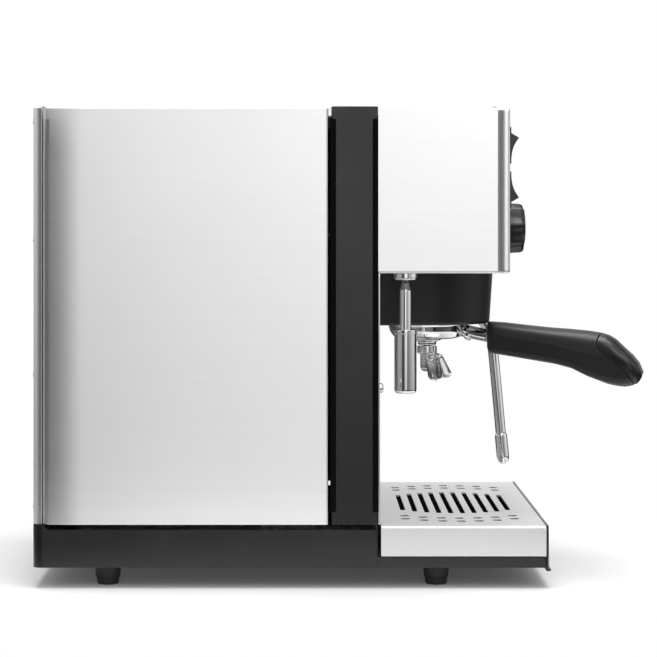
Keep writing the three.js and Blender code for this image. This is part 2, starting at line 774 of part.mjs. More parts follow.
add('group_gasket', turned([
  [basketRadius + seatGap, gasketBottom], [cavityRadius - 0.5, gasketBottom],
  [cavityRadius - 0.5, gasketTop], [basketRadius + seatGap, gasketTop],
  [basketRadius + seatGap, gasketBottom],
], 0, groupDepth, 32), rubber);

add('shower_screen', turned([
  [3, screenBottom], [screenRadius, screenBottom], [screenRadius, screenBottom + 3.2],
  [screenRadius - 1, screenBottom + 3.2], [screenRadius - 1, screenBottom + 1],
  [3, screenBottom + 1], [3, screenBottom],
], 0, groupDepth, 32), polished);

add('shower_screw', turned([
  [0, screenBottom - 2.4], [5, screenBottom - 2.4], [5, screenBottom - seatGap],
  [2.6, screenBottom - seatGap], [2.6, bossBottom + 6], [0, bossBottom + 6],
], 0, groupDepth, 20), polished);

// The moulded cover is straight beside the group and half round in front of it.
function coverOutline(offset) {
  const radius = groupCoverRadius - offset;
  const shape = new THREE.Shape();
  shape.moveTo(-radius, groupReach);
  shape.lineTo(-radius, 0);
  shape.absarc(0, 0, radius, Math.PI, 2 * Math.PI, false);
  shape.lineTo(radius, groupReach);
  return shape;
}

function makeGroupCover() {
  const outer = slab(coverOutline(0), coverZ, headBottom - seatGap, 14);
  const inner = slab(coverOutline(groupCoverWall), coverZ - 1, headBottom + 1, 14);
  const behind = block(-side, side, -groupReach - 5, -groupReach + seatGap + sheet + 0.5, 0, height);
  const shell = cut(outer, inner, behind);
  const places = shell.attributes.position;
  for (let i = 0; i < places.count; i += 1) {
    const down = (headBottom - places.getZ(i)) / groupCoverHeight;
    const scale = 1 - down * groupCoverTaper / groupCoverRadius;
    places.setX(i, places.getX(i) * scale);
    if (places.getY(i) < 0) places.setY(i, places.getY(i) * scale);
  }
  return shell.translate(0, -groupDepth, 0);
}

add('group_cover', makeGroupCover(), blackPlastic);

// ---- Portafilter, turned about the group's axis ----

const portafilter = new THREE.Group();
portafilter.position.set(0, -groupDepth, 0);
portafilter.rotation.z = THREE.MathUtils.degToRad(lockAngle);
machine.add(portafilter);

const bowlFloor = coverZ - 8.7;
const bowlBottom = bowlFloor - 4.2;
const spoutTop = bowlBottom - 4.4;
const neckZ = coverZ - 6.4;
const tangSlope = 0.083;

// A rod on the line that the tang follows into the handle, falling as it goes.
function tangRod(length, radius) {
  const z = neckZ - 3;
  return strut([0, handleStart - 2, z], [0, handleStart + length, z - tangSlope * (length + 2)],
    radius);
}

function makePortafilter() {
  const bowl = turned([
    [outletRadius, spoutTop], [7, spoutTop], [7, bowlBottom - 1.6], [10.7, bowlBottom - 0.6],
    [10.7, bowlBottom + 1.4], [21, bowlBottom + 1], [26, bowlBottom + 2.6],
    [29, bowlBottom + 9.4], [rimRadius - 1, coverZ + 1], [rimRadius, lugBottom],
    [rimRadius, rimTop], [basketRadius + 0.5, rimTop], [basketRadius + 0.5, coverZ + 1],
    [24.5, bowlFloor + 2], [23, bowlFloor], [outletRadius, bowlFloor], [outletRadius, spoutTop],
  ], 0, 0, 40);
  const lugs = [0, 180].map((turn) => ringSector(rimRadius - 0.6, rimRadius + lugReach,
    lugBottom, lugTop, turn, lugHalfAngle));
  const neck = strut([0, 26.5, neckZ + 0.9], [0, handleStart - 1.3, neckZ - 3.1], neckRadius);
  const tang = tangRod(tangLength, tangRadius);
  const hollow = rod(basketRadius + 0.5, coverZ + 1, rimTop + 1, 0, 0, basketRadius + 0.5, 40);
  return cut(join(bowl, ...lugs, neck, tang), hollow);
}

add('portafilter_body', makePortafilter(), polished, portafilter);

add('filter_basket', turned([
  [0, bowlFloor + 2.5], [22, bowlFloor + 2.5], [24, bowlFloor + 4], [basketRadius, coverZ + 3],
  [basketRadius, rimTop + seatGap], [rimRadius - 1, rimTop + seatGap], [rimRadius - 1, basketRim],
  [basketRadius - basketWall, basketRim], [basketRadius - basketWall, coverZ + 3.4],
  [23.2, bowlFloor + 4.8], [21.6, bowlFloor + 3.5], [0, bowlFloor + 3.5],
], 0, 0, 32), polished, portafilter);

// Side view of the handle as [distance from the group axis, height above the cover's edge].
const handleTop = [[0, 1.5], [12, 0.9], [30, -0.8], [46, -2.2], [62, -3.1], [76, -4.2], [85, -5.5],
  [93, -8.7], [99.5, -14.2], [108, -21.5], [113, -29], [115, -34.8]];
const handleUnder = [[114, -38.8], [110, -42.9], [106, -45.3], [99, -44.9], [91, -43.6],
  [76, -38.3], [64, -32.6], [52, -29.6], [36, -27.2], [14, -24], [2, -22.4], [0, -20]];

function smooth(points, count) {
  const curve = new THREE.SplineCurve(points.map(([f, z]) => new THREE.Vector2(
    handleStart + f, coverZ + z)));
  return curve.getPoints(count).map((point) => [point.x, point.y]);
}

// The side view carried across and trimmed to a plan with round ends.
function handleSolid() {
  const outline = [...smooth(handleTop, 24), ...smooth(handleUnder, 20)];
  const length = handleTop.at(-1)[0];
  const plan = plate(-handleWidth / 2, handleWidth / 2, handleStart, handleStart + length,
    coverZ - 60, coverZ + 10, handleRound, handleWidth * 0.45);
  return overlapOf(across(outline, -handleWidth, handleWidth), plan);
}

// The seam runs down behind the top of the cap and then forwards under it.
function beyondSeam(gap) {
  const seam = [[85, 20], [85, -5], [82.4, -13], [82.2, -17], [87.6, -20.4], [95.6, -25.4],
    [103.6, -34.8], [112, -50], [112, -60], [150, -60], [150, 20]];
  return across(seam.map(([f, z]) => [handleStart + f + gap, coverZ + z]),
    -handleWidth, handleWidth);
}

const tangBore = tangRod(tangLength + looseGap, tangRadius + seatGap);

add('handle_grip', cut(handleSolid(), beyondSeam(0), tangBore), blackPlastic, portafilter);
add('handle_end_cap', overlapOf(handleSolid(), beyondSeam(seatGap)), blackPlastic, portafilter);

// A hub screwed below the bowl with two arms that sweep forwards and down.
function makeSpout() {
  const hubTop = spoutTop - seatGap;
  const hub = turned([
    [0, hubTop - 20], [4.2, hubTop - 20], [5.2, hubTop - 18.5], [5.2, hubTop - 7],
    [7.6, hubTop - 5.5], [7.6, hubTop], [0, hubTop],
  ], 0, 0, 24);
  const arms = [-1, 1].map((hand) => pipe([
    [0, 2, hubTop - 9], [hand * 9, 6, hubTop - 7], [hand * spoutSpread * 0.4, spoutReach - 2, hubTop - 9],
    [hand * spoutSpread / 2, spoutReach, hubTop - 17], [hand * spoutSpread / 2, spoutReach, hubTop - 26],
  ], spoutRadius, 10, 10));
  return join(hub, ...arms);
}

add('double_spout', makeSpout(), polished, portafilter);

// ---- Discharge pipe ----

add('discharge_nut', turned([
  [2.4, headBottom - 5.5], [8, headBottom - 5.5], [8.75, headBottom - 4.5],
  [8.75, headBottom - seatGap], [2.4, headBottom - seatGap], [2.4, headBottom - 5.5],
], dischargeX, dischargeDepth, 24), polished);

const sleeveTop = coverZ - 0.2;
const sleeveBottom = sleeveTop - 45.6;

add('discharge_tube', turned([
  [0, sleeveTop - 8], [4.25, sleeveTop - 8], [4.25, headBottom - 13.2], [2.1, headBottom - 6.2],
  [2.1, headBottom - 1], [0, headBottom - 1],
], dischargeX, dischargeDepth, 24), polished);

add('discharge_sleeve', turned([
  [0, sleeveTop - 12], [5, sleeveTop - 12], [5, sleeveBottom + 1], [6.4, sleeveBottom],
  [8, sleeveBottom + 1.6], [8.4, sleeveTop - 2], [8.4, sleeveTop], [4.25 + seatGap, sleeveTop],
  [4.25 + seatGap, sleeveTop - 9], [0, sleeveTop - 9],
], dischargeX, dischargeDepth, 28), polished);

// ---- Steam wand ----

add('wand_socket', turned([
  [wandRadius + runningGap, headBottom - 9], [8, headBottom - 9], [9, headBottom - 7.5],
  [9, headBottom - seatGap], [wandRadius + runningGap, headBottom - seatGap],
  [wandRadius + runningGap, headBottom - 9],
], wandX, wandDepth, 32), polished);

// The tube leaves its socket downwards, slopes forwards and then hangs almost upright.
const wandDrop = headBottom - trayTop - wandClearance;
const wandRoute = [[0, -3], [0, -8], [0, -13], [4, -22], [15, -33.5], [25.5, -46], [31, -58], [33, -71],
  [33 + wandSlope * (wandDrop - 71) / 2, -(wandDrop + 71) / 2],
  [33 + wandSlope * (wandDrop - 71), -wandDrop]];

add('steam_wand', pipe(wandRoute.map(([forward, drop]) => [
  wandX, wandDepth + forward, headBottom + drop]), wandRadius, 26, 10), polished);

const nozzle = turned([
  [0, -nozzleLength], [2.4, -nozzleLength], [nozzleRadius - 0.8, -nozzleLength + 2.5],
  [nozzleRadius, -nozzleLength + 5], [nozzleRadius, -1.5], [wandRadius, 0], [0, 0],
], 0, 0, 24);
nozzle.rotateX(-Math.atan(wandSlope));
add('wand_nozzle', nozzle.translate(wandX, -(wandDepth + wandRoute.at(-1)[0]),
  headBottom - wandDrop - seatGap - 0.4), polished);

// ---- Drip pan and its cover ----

function makeDripPan() {
  const rear = trayRear + 2;
  const reach = side - sheet - looseGap;
  const rim = trayTop - sheet - seatGap;
  const tub = block(-reach, reach, rear, trayFront + seatGap + 0.5, panBottom, rim);
  const well = block(-reach + trayPlate, reach - trayPlate, rear + trayPlate,
    trayFront - looseGap, panBottom + trayPlate, rim + 1);
  const plateRear = trayFront + seatGap;
  const face = block(-side + 1, side - 1, plateRear, plateRear + trayPlate, footHeight - 2.5,
    trayTop + 0.3);
  const lip = block(-side + 1, side - 1, plateRear, plateRear + trayLip, footHeight - 2.5,
    footHeight - 1);
  return join(cut(tub, well), face, lip);
}

add('drip_pan', makeDripPan(), blackPaint);

// A slot with round ends that runs across the tray.
function slotTool(halfLength, depth) {
  const round = slotWidth / 2;
  return slab(roundedRect(-halfLength, halfLength, -depth - round, -depth + round, round - 0.01),
    trayTop - 4, trayTop + 4, 1);
}

function makeGrille() {
  const middle = (trayRear + trayFront) / 2;
  const outer = block(-side, side, trayRear, trayFront, trayTop - trayCoverDrop, trayTop);
  const hollow = block(-side + sheet, side - sheet, trayRear - 1, trayFront + 1,
    trayTop - trayCoverDrop - 1, trayTop - sheet);
  const tools = [];
  for (let i = 0; i < slotCount; i += 1) {
    const offset = (i - (slotCount - 1) / 2) * slotPitch;
    tools.push(slotTool(Math.sqrt(slotFieldRadius ** 2 - offset ** 2), middle + offset));
  }
  for (let i = 0; i < roundHoleColumns; i += 1) {
    const offset = (i - (roundHoleColumns - 1) / 2) * roundHolePitch;
    const bow = roundHoleArc - Math.sqrt(roundHoleArc ** 2 - offset ** 2);
    for (const [, sign] of sides) {
      for (const inward of [0, roundHoleRowGap]) {
        tools.push(rod(roundHoleRadius, trayTop - 4, trayTop + 4,
          sign * (roundHoleReach - bow - inward), middle + offset, roundHoleRadius, 8));
      }
    }
  }
  return cut(outer, hollow, ...tools);
}

add('drip_grille', makeGrille(), brushed);

// ---- Centre the machine over the middle of its own box ----

machine.updateMatrixWorld(true);
const box = new THREE.Box3().setFromObject(machine, true);
const centre = box.getCenter(new THREE.Vector3());
machine.position.set(-centre.x, -centre.y, -box.min.z);

const assembly = new THREE.Group();
assembly.add(machine);

export default assembly;
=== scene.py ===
from math import cos, pi, radians, sin, sqrt

import bmesh
import bpy
from mathutils import Matrix, Vector


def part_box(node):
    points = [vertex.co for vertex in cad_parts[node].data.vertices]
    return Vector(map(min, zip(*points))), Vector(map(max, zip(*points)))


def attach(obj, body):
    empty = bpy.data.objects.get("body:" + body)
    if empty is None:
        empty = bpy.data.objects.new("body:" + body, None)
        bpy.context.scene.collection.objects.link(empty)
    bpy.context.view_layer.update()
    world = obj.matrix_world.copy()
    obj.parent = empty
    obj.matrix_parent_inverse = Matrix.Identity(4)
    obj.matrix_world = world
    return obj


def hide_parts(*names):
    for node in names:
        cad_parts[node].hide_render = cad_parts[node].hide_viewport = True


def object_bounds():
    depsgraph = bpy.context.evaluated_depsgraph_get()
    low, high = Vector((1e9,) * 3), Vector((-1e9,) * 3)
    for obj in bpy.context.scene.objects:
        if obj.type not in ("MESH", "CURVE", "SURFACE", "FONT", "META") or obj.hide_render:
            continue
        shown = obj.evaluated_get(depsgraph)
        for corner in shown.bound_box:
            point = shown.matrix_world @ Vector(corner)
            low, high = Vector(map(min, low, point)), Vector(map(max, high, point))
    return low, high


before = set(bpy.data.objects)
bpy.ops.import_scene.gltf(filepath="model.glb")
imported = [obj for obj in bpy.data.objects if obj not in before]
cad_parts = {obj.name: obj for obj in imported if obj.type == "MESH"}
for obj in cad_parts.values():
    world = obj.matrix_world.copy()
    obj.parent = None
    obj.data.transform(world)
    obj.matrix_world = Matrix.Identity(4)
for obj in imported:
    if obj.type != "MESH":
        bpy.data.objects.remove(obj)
cad_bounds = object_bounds()

# Studio. A camera square to the left side at the height of the head, a small pale floor, and a
# soft white room with a few dim stretches of wall that the steel can mirror. One large soft light
# hangs over the machine, and one smaller one stands off to its left.
camera_data = bpy.data.cameras.new("camera")
camera_data.sensor_width = 36
camera_data.lens = 112.8
camera_data.shift_x = 0.0434
camera_data.shift_y = -0.185
camera = bpy.data.objects.new("camera", camera_data)
camera.location = (cad_bounds[0][0] - 1.45, cad_bounds[1][1] - 0.1887, 0.269)
camera.rotation_euler = (pi / 2, 0, -pi / 2)
bpy.context.scene.collection.objects.link(camera)
bpy.context.scene.camera = camera
bpy.context.scene.view_settings.view_transform = "Standard"


def node(tree, kind, values=None, **settings):
    """Adds a node and fills its inputs, by name or number, with constants or links."""
    made = tree.nodes.new("ShaderNode" + kind)
    for name, value in settings.items():
        setattr(made, name, value)
    for key, value in (values or {}).items():
        if isinstance(value, bpy.types.NodeSocket):
            tree.links.new(value, made.inputs[key])
        else:
            made.inputs[key].default_value = value
    return made


def calc(tree, operation, first, second=0.0, third=0.0):
    values = {0: first, 1: second, 2: third}
    return node(tree, "Math", values, operation=operation).outputs[0]


def ramp(tree, factor, stops):
    """A grey ramp; stops are (place, grey) pairs."""
    made = node(tree, "ValToRGB", {"Fac": factor})
    elements = made.color_ramp.elements
    for _ in stops[2:]:
        elements.new(0.5)
    for element, (place, grey) in zip(elements, stops):
        element.position = place
        element.color = (grey, grey, grey, 1)
    return made.outputs["Color"]


world = bpy.data.worlds.new("studio")
bpy.context.scene.world = world
world.use_nodes = True
room = world.node_tree
room.nodes.clear()
look = node(room, "SeparateXYZ", {0: node(room, "TexCoord").outputs["Generated"]}).outputs
bearing = calc(room, "ARCTAN2", look["Y"], calc(room, "MULTIPLY", look["X"], -1.0))
bearing = calc(room, "MULTIPLY_ADD", bearing, 0.5 / pi, 0.5)
around = ramp(room, bearing, [(0.5 + angle / 360, grey) for angle, grey in (
    (-172, 0.6), (-152, 0.45), (-138, 0.08), (-112, 0.1), (-100, 0.75), (-68, 0.72), (-46, 0.42),
    (-28, 0.38), (-23, 0.08), (-18, 0.1), (-13, 1.0), (8, 1.0), (12.5, 0.2), (20, 0.07), (33, 0.09),
    (54, 0.25), (78, 0.5), (102, 0.62), (124, 0.55), (146, 0.2), (165, 0.6))])
height = calc(room, "MULTIPLY_ADD", look["Z"], 0.5, 0.5)
above = ramp(room, height, [(0.0, 0.22), (0.38, 0.1), (0.42, 0.2), (0.45, 0.45), (0.475, 0.85),
                            (0.5, 0.97), (0.53, 1.03), (0.75, 1.1)])
lit = node(room, "Mix", {0: 1.0, 6: around, 7: above}, data_type="RGBA", blend_type="MULTIPLY")
felt = node(room, "Background", {"Color": lit.outputs[2], "Strength": 1.4})
seen = node(room, "Background", {"Color": (1, 1, 1, 1), "Strength": 1.0})
direct = node(room, "LightPath").outputs["Is Camera Ray"]
mixed = node(room, "MixShader", {0: direct, 1: felt.outputs[0], 2: seen.outputs[0]})
node(room, "OutputWorld", {"Surface": mixed.outputs[0]})

for name, place, size, power in (("sky", (-0.15, 0, 1.9), 1.4, 36),
                                 ("window", (-1.9, -0.6, 1.6), 1.0, 8)):
    lamp = bpy.data.lights.new(name, "AREA")
    lamp.size = size
    lamp.energy = power
    holder = bpy.data.objects.new(name, lamp)
    holder.location = place
    holder.rotation_euler = (Vector((0, 0, 0.1)) - Vector(place)).to_track_quat("-Z", "Y").to_euler()
    bpy.context.scene.collection.objects.link(holder)

floor_mesh = bmesh.new()
bmesh.ops.create_circle(floor_mesh, cap_ends=True, segments=96, radius=0.42)
bmesh.ops.scale(floor_mesh, vec=(0.62, 0.87, 1), verts=floor_mesh.verts)
floor_data = bpy.data.meshes.new("floor")
floor_mesh.to_mesh(floor_data)
floor_mesh.free()
floor = bpy.data.objects.new("floor", floor_data)
bpy.context.scene.collection.objects.link(floor)
floor_paint = bpy.data.materials.new("pale_floor")
floor_paint.use_nodes = True
floor_shader = floor_paint.node_tree.nodes["Principled BSDF"]
floor_shader.inputs["Base Color"].default_value = (0.78, 0.78, 0.78, 1)
floor_shader.inputs["Roughness"].default_value = 0.9
floor_shader.inputs["Specular IOR Level"].default_value = 0.1
floor_shader.inputs["Emission Color"].default_value = (1, 1, 1, 1)
floor_shader.inputs["Emission Strength"].default_value = 0.05
floor_data.materials.append(floor_paint)


# Base frame. A pressed steel tub in textured black powder coat: deep under the cabinet, with a
# low shelf under the drip tray. Everything else is screwed to it.
def span(name):
    """Low and high corner of a CAD node, in millimetres."""
    low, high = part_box(name)
    return low * 1000, high * 1000


def effect(name, inputs, outputs):
    """An empty shader node group with its own sockets."""
    tree = bpy.data.node_groups.new(name, "ShaderNodeTree")
    for label, kind, value in inputs:
        socket = tree.interface.new_socket(label, in_out="INPUT", socket_type="NodeSocket" + kind)
        socket.default_value = value
    for label, kind in outputs:
        tree.interface.new_socket(label, in_out="OUTPUT", socket_type="NodeSocket" + kind)
    return tree, tree.nodes.new("NodeGroupInput").outputs, tree.nodes.new("NodeGroupOutput").inputs


def use(tree, name, values=None):
    """Puts a node group into a material and gives its outputs."""
    return node(tree, "Group", values, node_tree=bpy.data.node_groups[name]).outputs


def material(name, color, roughness, metallic=0.0, **others):
    """A Principled material with constants on its sockets, and its tree and shader."""
    made = bpy.data.materials.new(name)
    made.use_nodes = True
    shader = made.node_tree.nodes["Principled BSDF"]
    shader.inputs["Base Color"].default_value = (*color, 1)
    shader.inputs["Roughness"].default_value = roughness
    shader.inputs["Metallic"].default_value = metallic
    for label, value in others.items():
        shader.inputs[label.replace("_", " ")].default_value = value
    return made, made.node_tree, shader.inputs


# Soft patches of handling marks, used to vary roughness on every finish.
tree, given, result = effect("handling", [("Scale", "Float", 30.0)], [("Marks", "Float")])
place = node(tree, "TexCoord").outputs["Object"]
cloud = node(tree, "TexNoise", {"Vector": place, "Scale": given["Scale"], "Detail": 4.0})
spread = node(tree, "MapRange", {"Value": cloud.outputs[0], 1: 0.3, 2: 0.75})
tree.links.new(spread.outputs[0], result["Marks"])

# A pebbled coating or moulded skin: a bump, and a mask of its raised grains.
tree, given, result = effect(
    "pebbled", [("Scale", "Float", 1200.0), ("Depth", "Float", 0.2)],
    [("Normal", "Vector"), ("Grain", "Float")])
place = node(tree, "TexCoord").outputs["Object"]
grain = node(tree, "TexNoise", {"Vector": place, "Scale": given["Scale"], "Detail": 2.0})
raised = node(tree, "Bump", {"Height": grain.outputs[0], "Strength": given["Depth"],
                             "Distance": 0.0003})
tree.links.new(raised.outputs[0], result["Normal"])
tree.links.new(grain.outputs[0], result["Grain"])


def coated(name, color, roughness, scale, depth, change=0.12, **others):
    """A pebbled paint, plastic or rubber whose roughness changes where it is handled."""
    made, tree, inputs = material(name, color, roughness, **others)
    skin = use(tree, "pebbled", {"Scale": scale, "Depth": depth})
    tree.links.new(skin["Normal"], inputs["Normal"])
    marks = use(tree, "handling", {"Scale": 22.0})["Marks"]
    tree.links.new(calc(tree, "MULTIPLY_ADD", marks, change, roughness), inputs["Roughness"])
    return made


def prism(bm, outline, low, high, axis="z"):
    """Raises a closed outline along an axis: (x, y), (x, z) or (y, z) pairs for z, y or x."""
    lift = {"x": lambda a, b: (low, a, b), "y": lambda a, b: (a, low, b), "z": lambda a, b: (a, b, low)}
    face = bm.faces.new([bm.verts.new(lift[axis](a, b)) for a, b in outline])
    raised = bmesh.ops.extrude_face_region(bm, geom=[face], use_keep_orig=True)["geom"]
    verts = [item for item in raised if isinstance(item, bmesh.types.BMVert)]
    move = Vector([(high - low) * (axis == letter) for letter in "xyz"])
    bmesh.ops.translate(bm, vec=move, verts=verts)
    return [item for item in raised if isinstance(item, bmesh.types.BMFace)][0]


def rounded(x0, x1, y0, y1, low, high=None, steps=6):
    """A rectangle with one radius for its corners at y0 and one for those at y1."""
    high = low if high is None else high
    corners = ((x1 - low, y0 + low, low, -90), (x1 - high, y1 - high, high, 0),
               (x0 + high, y1 - high, high, 90), (x0 + low, y0 + low, low, 180))
    return [(x + r * cos(radians(turn + 90 * i / steps)), y + r * sin(radians(turn + 90 * i / steps)))
            for x, y, r, turn in corners for i in range(steps + 1)]


def hollow(bm, face, wall, depth):
    """Insets a flat face by a wall and sinks what is inside it."""
    bmesh.ops.recalc_face_normals(bm, faces=bm.faces)
    down = face.normal * -depth
    bmesh.ops.inset_individual(bm, faces=[face], thickness=wall, use_even_offset=True)
    sunk = bmesh.ops.extrude_discrete_faces(bm, faces=[face])["faces"]
    bmesh.ops.translate(bm, vec=down, verts=sunk[0].verts)


def piece(name, bm, finish, body, nodes=(), sheet=0.0, bevel=0.3, segments=2, crease=30):
    """Ends a mesh drawn in millimetres as an object that rides on a CAD body.

    Sheet, bevel and crease are a thickness and a width in millimetres and an angle in degrees.
    An edge where a wide face meets a much narrower one stays sharp, so that flats look flat.
    """
    bmesh.ops.scale(bm, vec=(0.001, 0.001, 0.001), verts=bm.verts)
    bmesh.ops.remove_doubles(bm, verts=bm.verts, dist=2e-6)
    bmesh.ops.recalc_face_normals(bm, faces=bm.faces)
    bm.edges.index_update()
    sides = [(edge, sorted(face.calc_area() for face in edge.link_faces)) for edge in bm.edges]
    flat_borders = [edge.index for edge, areas in sides
                    if len(areas) == 2 and areas[1] > 4 * areas[0] and edge.calc_face_angle() > 0.03]
    mesh = bpy.data.meshes.new(name)
    bm.to_mesh(mesh)
    bm.free()
    mesh.shade_smooth()
    mesh.set_sharp_from_angle(angle=radians(crease))
    for i in flat_borders:
        mesh.edges[i].use_edge_sharp = True
    mesh.materials.append(finish)
    made = bpy.data.objects.new(name, mesh)
    bpy.context.scene.collection.objects.link(made)
    if sheet:
        solid = made.modifiers.new("sheet", "SOLIDIFY")
        solid.thickness = sheet / 1000
        solid.offset = -1
        solid.use_even_offset = True
    if bevel:
        edge = made.modifiers.new("edges", "BEVEL")
        edge.width = bevel / 1000
        edge.segments = segments
        edge.limit_method = "ANGLE"
        edge.angle_limit = radians(35)
        edge.harden_normals = True
    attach(made, body)
    if nodes:
        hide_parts(*nodes)
    return made


black_paint = coated("black_paint", (0.0075, 0.0075, 0.008), 0.2, 1500.0, 0.1)
base_low, base_high = span("base_frame")
side = base_high.x
shelf_top = 22.3
step_y = span("front_column")[0].y
rest = base_high.z - 3.2
plan = rounded(-side, side, step_y, base_high.y, 1.2, 6.5)
rise = [(side, base_high.y - back) for back in (12.5, 11, 9.2, 8)]
plan = plan[:7] + rise + plan[7:21] + [(-x, y) for x, y in rise[::-1]] + plan[21:]
bm = bmesh.new()
top = prism(bm, plan, base_low.z, base_high.z)
hollow(bm, top, 2, base_high.z - base_low.z - 2)
for vert in bm.verts:
    if vert.co.z > rest and abs(vert.co.x) > side - 3:
        ahead = max(0, min(1, (base_high.y - 8 - vert.co.y) / 4.5))
        vert.co.z -= 3.2 * (1 - (1 - ahead) ** 2) ** 0.5
top = prism(bm, rounded(-side, side, base_low.y, step_y + 1.5, 1.2), base_low.z, shelf_top)
hollow(bm, top, 2, shelf_top - base_low.z - 2)
piece("base", bm, black_paint, "chassis", ["base_frame"], bevel=1.3, segments=4)


# Feet. Four black rubber buffers, moulded with a sunk screw hole and a soft lower edge, and
# screwed up into the base.
def lathe(bm, profile, centre, axis="z", steps=64, scale=1):
    """Turns (radius, height) pairs about an axis; heights run along +z or towards the front."""
    points = [Vector((r, 0, h * scale)) for r, h in profile]
    if axis == "y":
        points = [Vector((r, -h * scale, 0)) for r, h in profile]
    verts = [bm.verts.new(point + Vector(centre)) for point in points]
    edges = [bm.edges.new(pair) for pair in zip(verts, verts[1:])]
    about = (0, 0, 1) if axis == "z" else (0, 1, 0)
    bmesh.ops.spin(bm, geom=verts + edges, cent=centre, axis=about, angle=2 * pi, steps=steps,
                   use_merge=True)


def softened(profile, radius=0.6, steps=3):
    """Rounds every inner corner of a (radius, height) profile."""
    points = [Vector(point) for point in profile]
    smooth = [points[0]]
    for before, corner, after in zip(points, points[1:], points[2:]):
        reach = min(radius, (before - corner).length / 2.2, (after - corner).length / 2.2)
        start = corner + (before - corner).normalized() * reach
        end = corner + (after - corner).normalized() * reach
        for i in range(steps + 1):
            t = i / steps
            smooth.append((1 - t) ** 2 * start + 2 * t * (1 - t) * corner + t ** 2 * end)
    return smooth + [points[-1]]


rubber = coated("rubber", (0.012, 0.012, 0.012), 0.5, 900.0, 0.3)
for end in ("rear", "front"):
    for hand in ("left", "right"):
        low, high = span(f"foot_{end}_{hand}")
        middle = (low + high) / 2
        bm = bmesh.new()
        lathe(bm, softened([
            (0, 4), (3.2, 4), (3.2, 0), (7.5, 0), (8.2, 5), (8.7, 5.4), (9.5, high.z), (0, high.z)]),
            (middle.x, middle.y, 0))
        piece(f"foot_{end}_{hand}", bm, rubber, "chassis", [f"foot_{end}_{hand}"], bevel=0)


# Front column. A folded steel channel in the same black coating as the base. It stands on the
# base, joins cabinet and head, and has a window behind the head. Near-black strips, rounded at
# the top, sit in grooves down both edges of its sides. They are painted shade standing in for the
# dark gaps between column, panels and head.
def folded(bm, path, marks, gaps=(), axis="z", fold=0.0, steps=4):
    """A folded sheet: a path in plan (or in front view, for y) carried through the marks.

    gaps are (segment, step) pairs of faces to leave out, and fold is the radius of the bends.
    """
    def at(point, mark):
        return (*point, mark) if axis == "z" else (point[0], mark, point[1])
    columns = [[bm.verts.new(at(point, mark)) for mark in marks] for point in path]
    for i, (near, far) in enumerate(zip(columns, columns[1:])):
        for j in range(len(marks) - 1):
            if (i, j) not in gaps:
                bm.faces.new((near[j], far[j], far[j + 1], near[j + 1]))
    if fold:
        bm.normal_update()
        bends = [edge for edge in bm.edges if len(edge.link_faces) == 2
                 and edge.calc_face_angle() > radians(40)]
        bmesh.ops.bevel(bm, geom=bends, offset=fold, segments=steps, profile=0.5, affect="EDGES",
                        offset_type="OFFSET", material=-1)
    loose = [vert for vert in bm.verts if not vert.link_faces]
    bmesh.ops.delete(bm, geom=loose, context="VERTS")


column_low, column_high = span("front_column")
head_low, head_high = span("head_shell")
strips = ((column_high.y - 3.2, column_high.y + 0.9), (column_low.y - 0.3, column_low.y + 3.7))
path = [(-side, column_high.y), (-side, column_low.y), (-97.5, column_low.y), (97.5, column_low.y),
        (side, column_low.y), (side, column_high.y)]
bm = bmesh.new()
folded(bm, path, [column_low.z, head_low.z + 10, 324, column_high.z], gaps=[(2, 1)])
piece("column", bm, black_paint, "chassis", ["front_column"], sheet=1.5, bevel=0.6,
      segments=3)
# Painted shade: an almost black, barely reflecting coat for the edge strips. It stands in for the
# shadow in the gaps beside the column and is not a real part.
gap_shade_paint = coated("gap_shade_paint", (0.003, 0.003, 0.003), 0.95, 1200.0, 0.1, 0.02, Specular_IOR_Level=0.1)
bm = bmesh.new()
for sign in (-1, 1):
    for rear, front in strips:
        outline = rounded(rear, front, column_low.z + 9, 331.5, 0.3, (front - rear) / 2 - 0.1)
        prism(bm, outline, sign * (side - 3), sign * (side + 0.08), "x")
piece("column_gap_shade", bm, gap_shade_paint, "chassis", bevel=0)


# Side panels. Brushed stainless sheets with their four edges folded in, hooked onto the base and
# held by the top tray. The rear edge is rolled inwards a little before it folds.
tree, given, result = effect(
    "brushed_grain", [("Vector", "Vector", (0, 0, 0)), ("Roughness", "Float", 0.28)],
    [("Shade", "Float"), ("Roughness", "Float"), ("Normal", "Vector")])
fine = node(tree, "TexNoise", {"Vector": given["Vector"], "Scale": 1.0, "Detail": 3.0})
broad = node(tree, "TexNoise", {"Vector": given["Vector"], "Scale": 0.12, "Detail": 2.0})
marks = use(tree, "handling", {"Scale": 9.0})["Marks"]
bands = calc(tree, "MULTIPLY", broad.outputs[0], 0.4)
streaks = calc(tree, "MULTIPLY_ADD", fine.outputs[0], 0.6, bands)
tree.links.new(calc(tree, "MULTIPLY_ADD", streaks, 0.1, 0.95), result["Shade"])
rough = calc(tree, "MULTIPLY_ADD", streaks, 0.1, calc(tree, "SUBTRACT", given["Roughness"], 0.05))
tree.links.new(calc(tree, "MULTIPLY_ADD", marks, 0.04, rough), result["Roughness"])
bumped = node(tree, "Bump", {"Height": streaks, "Strength": 0.1, "Distance": 0.0002})
tree.links.new(bumped.outputs[0], result["Normal"])


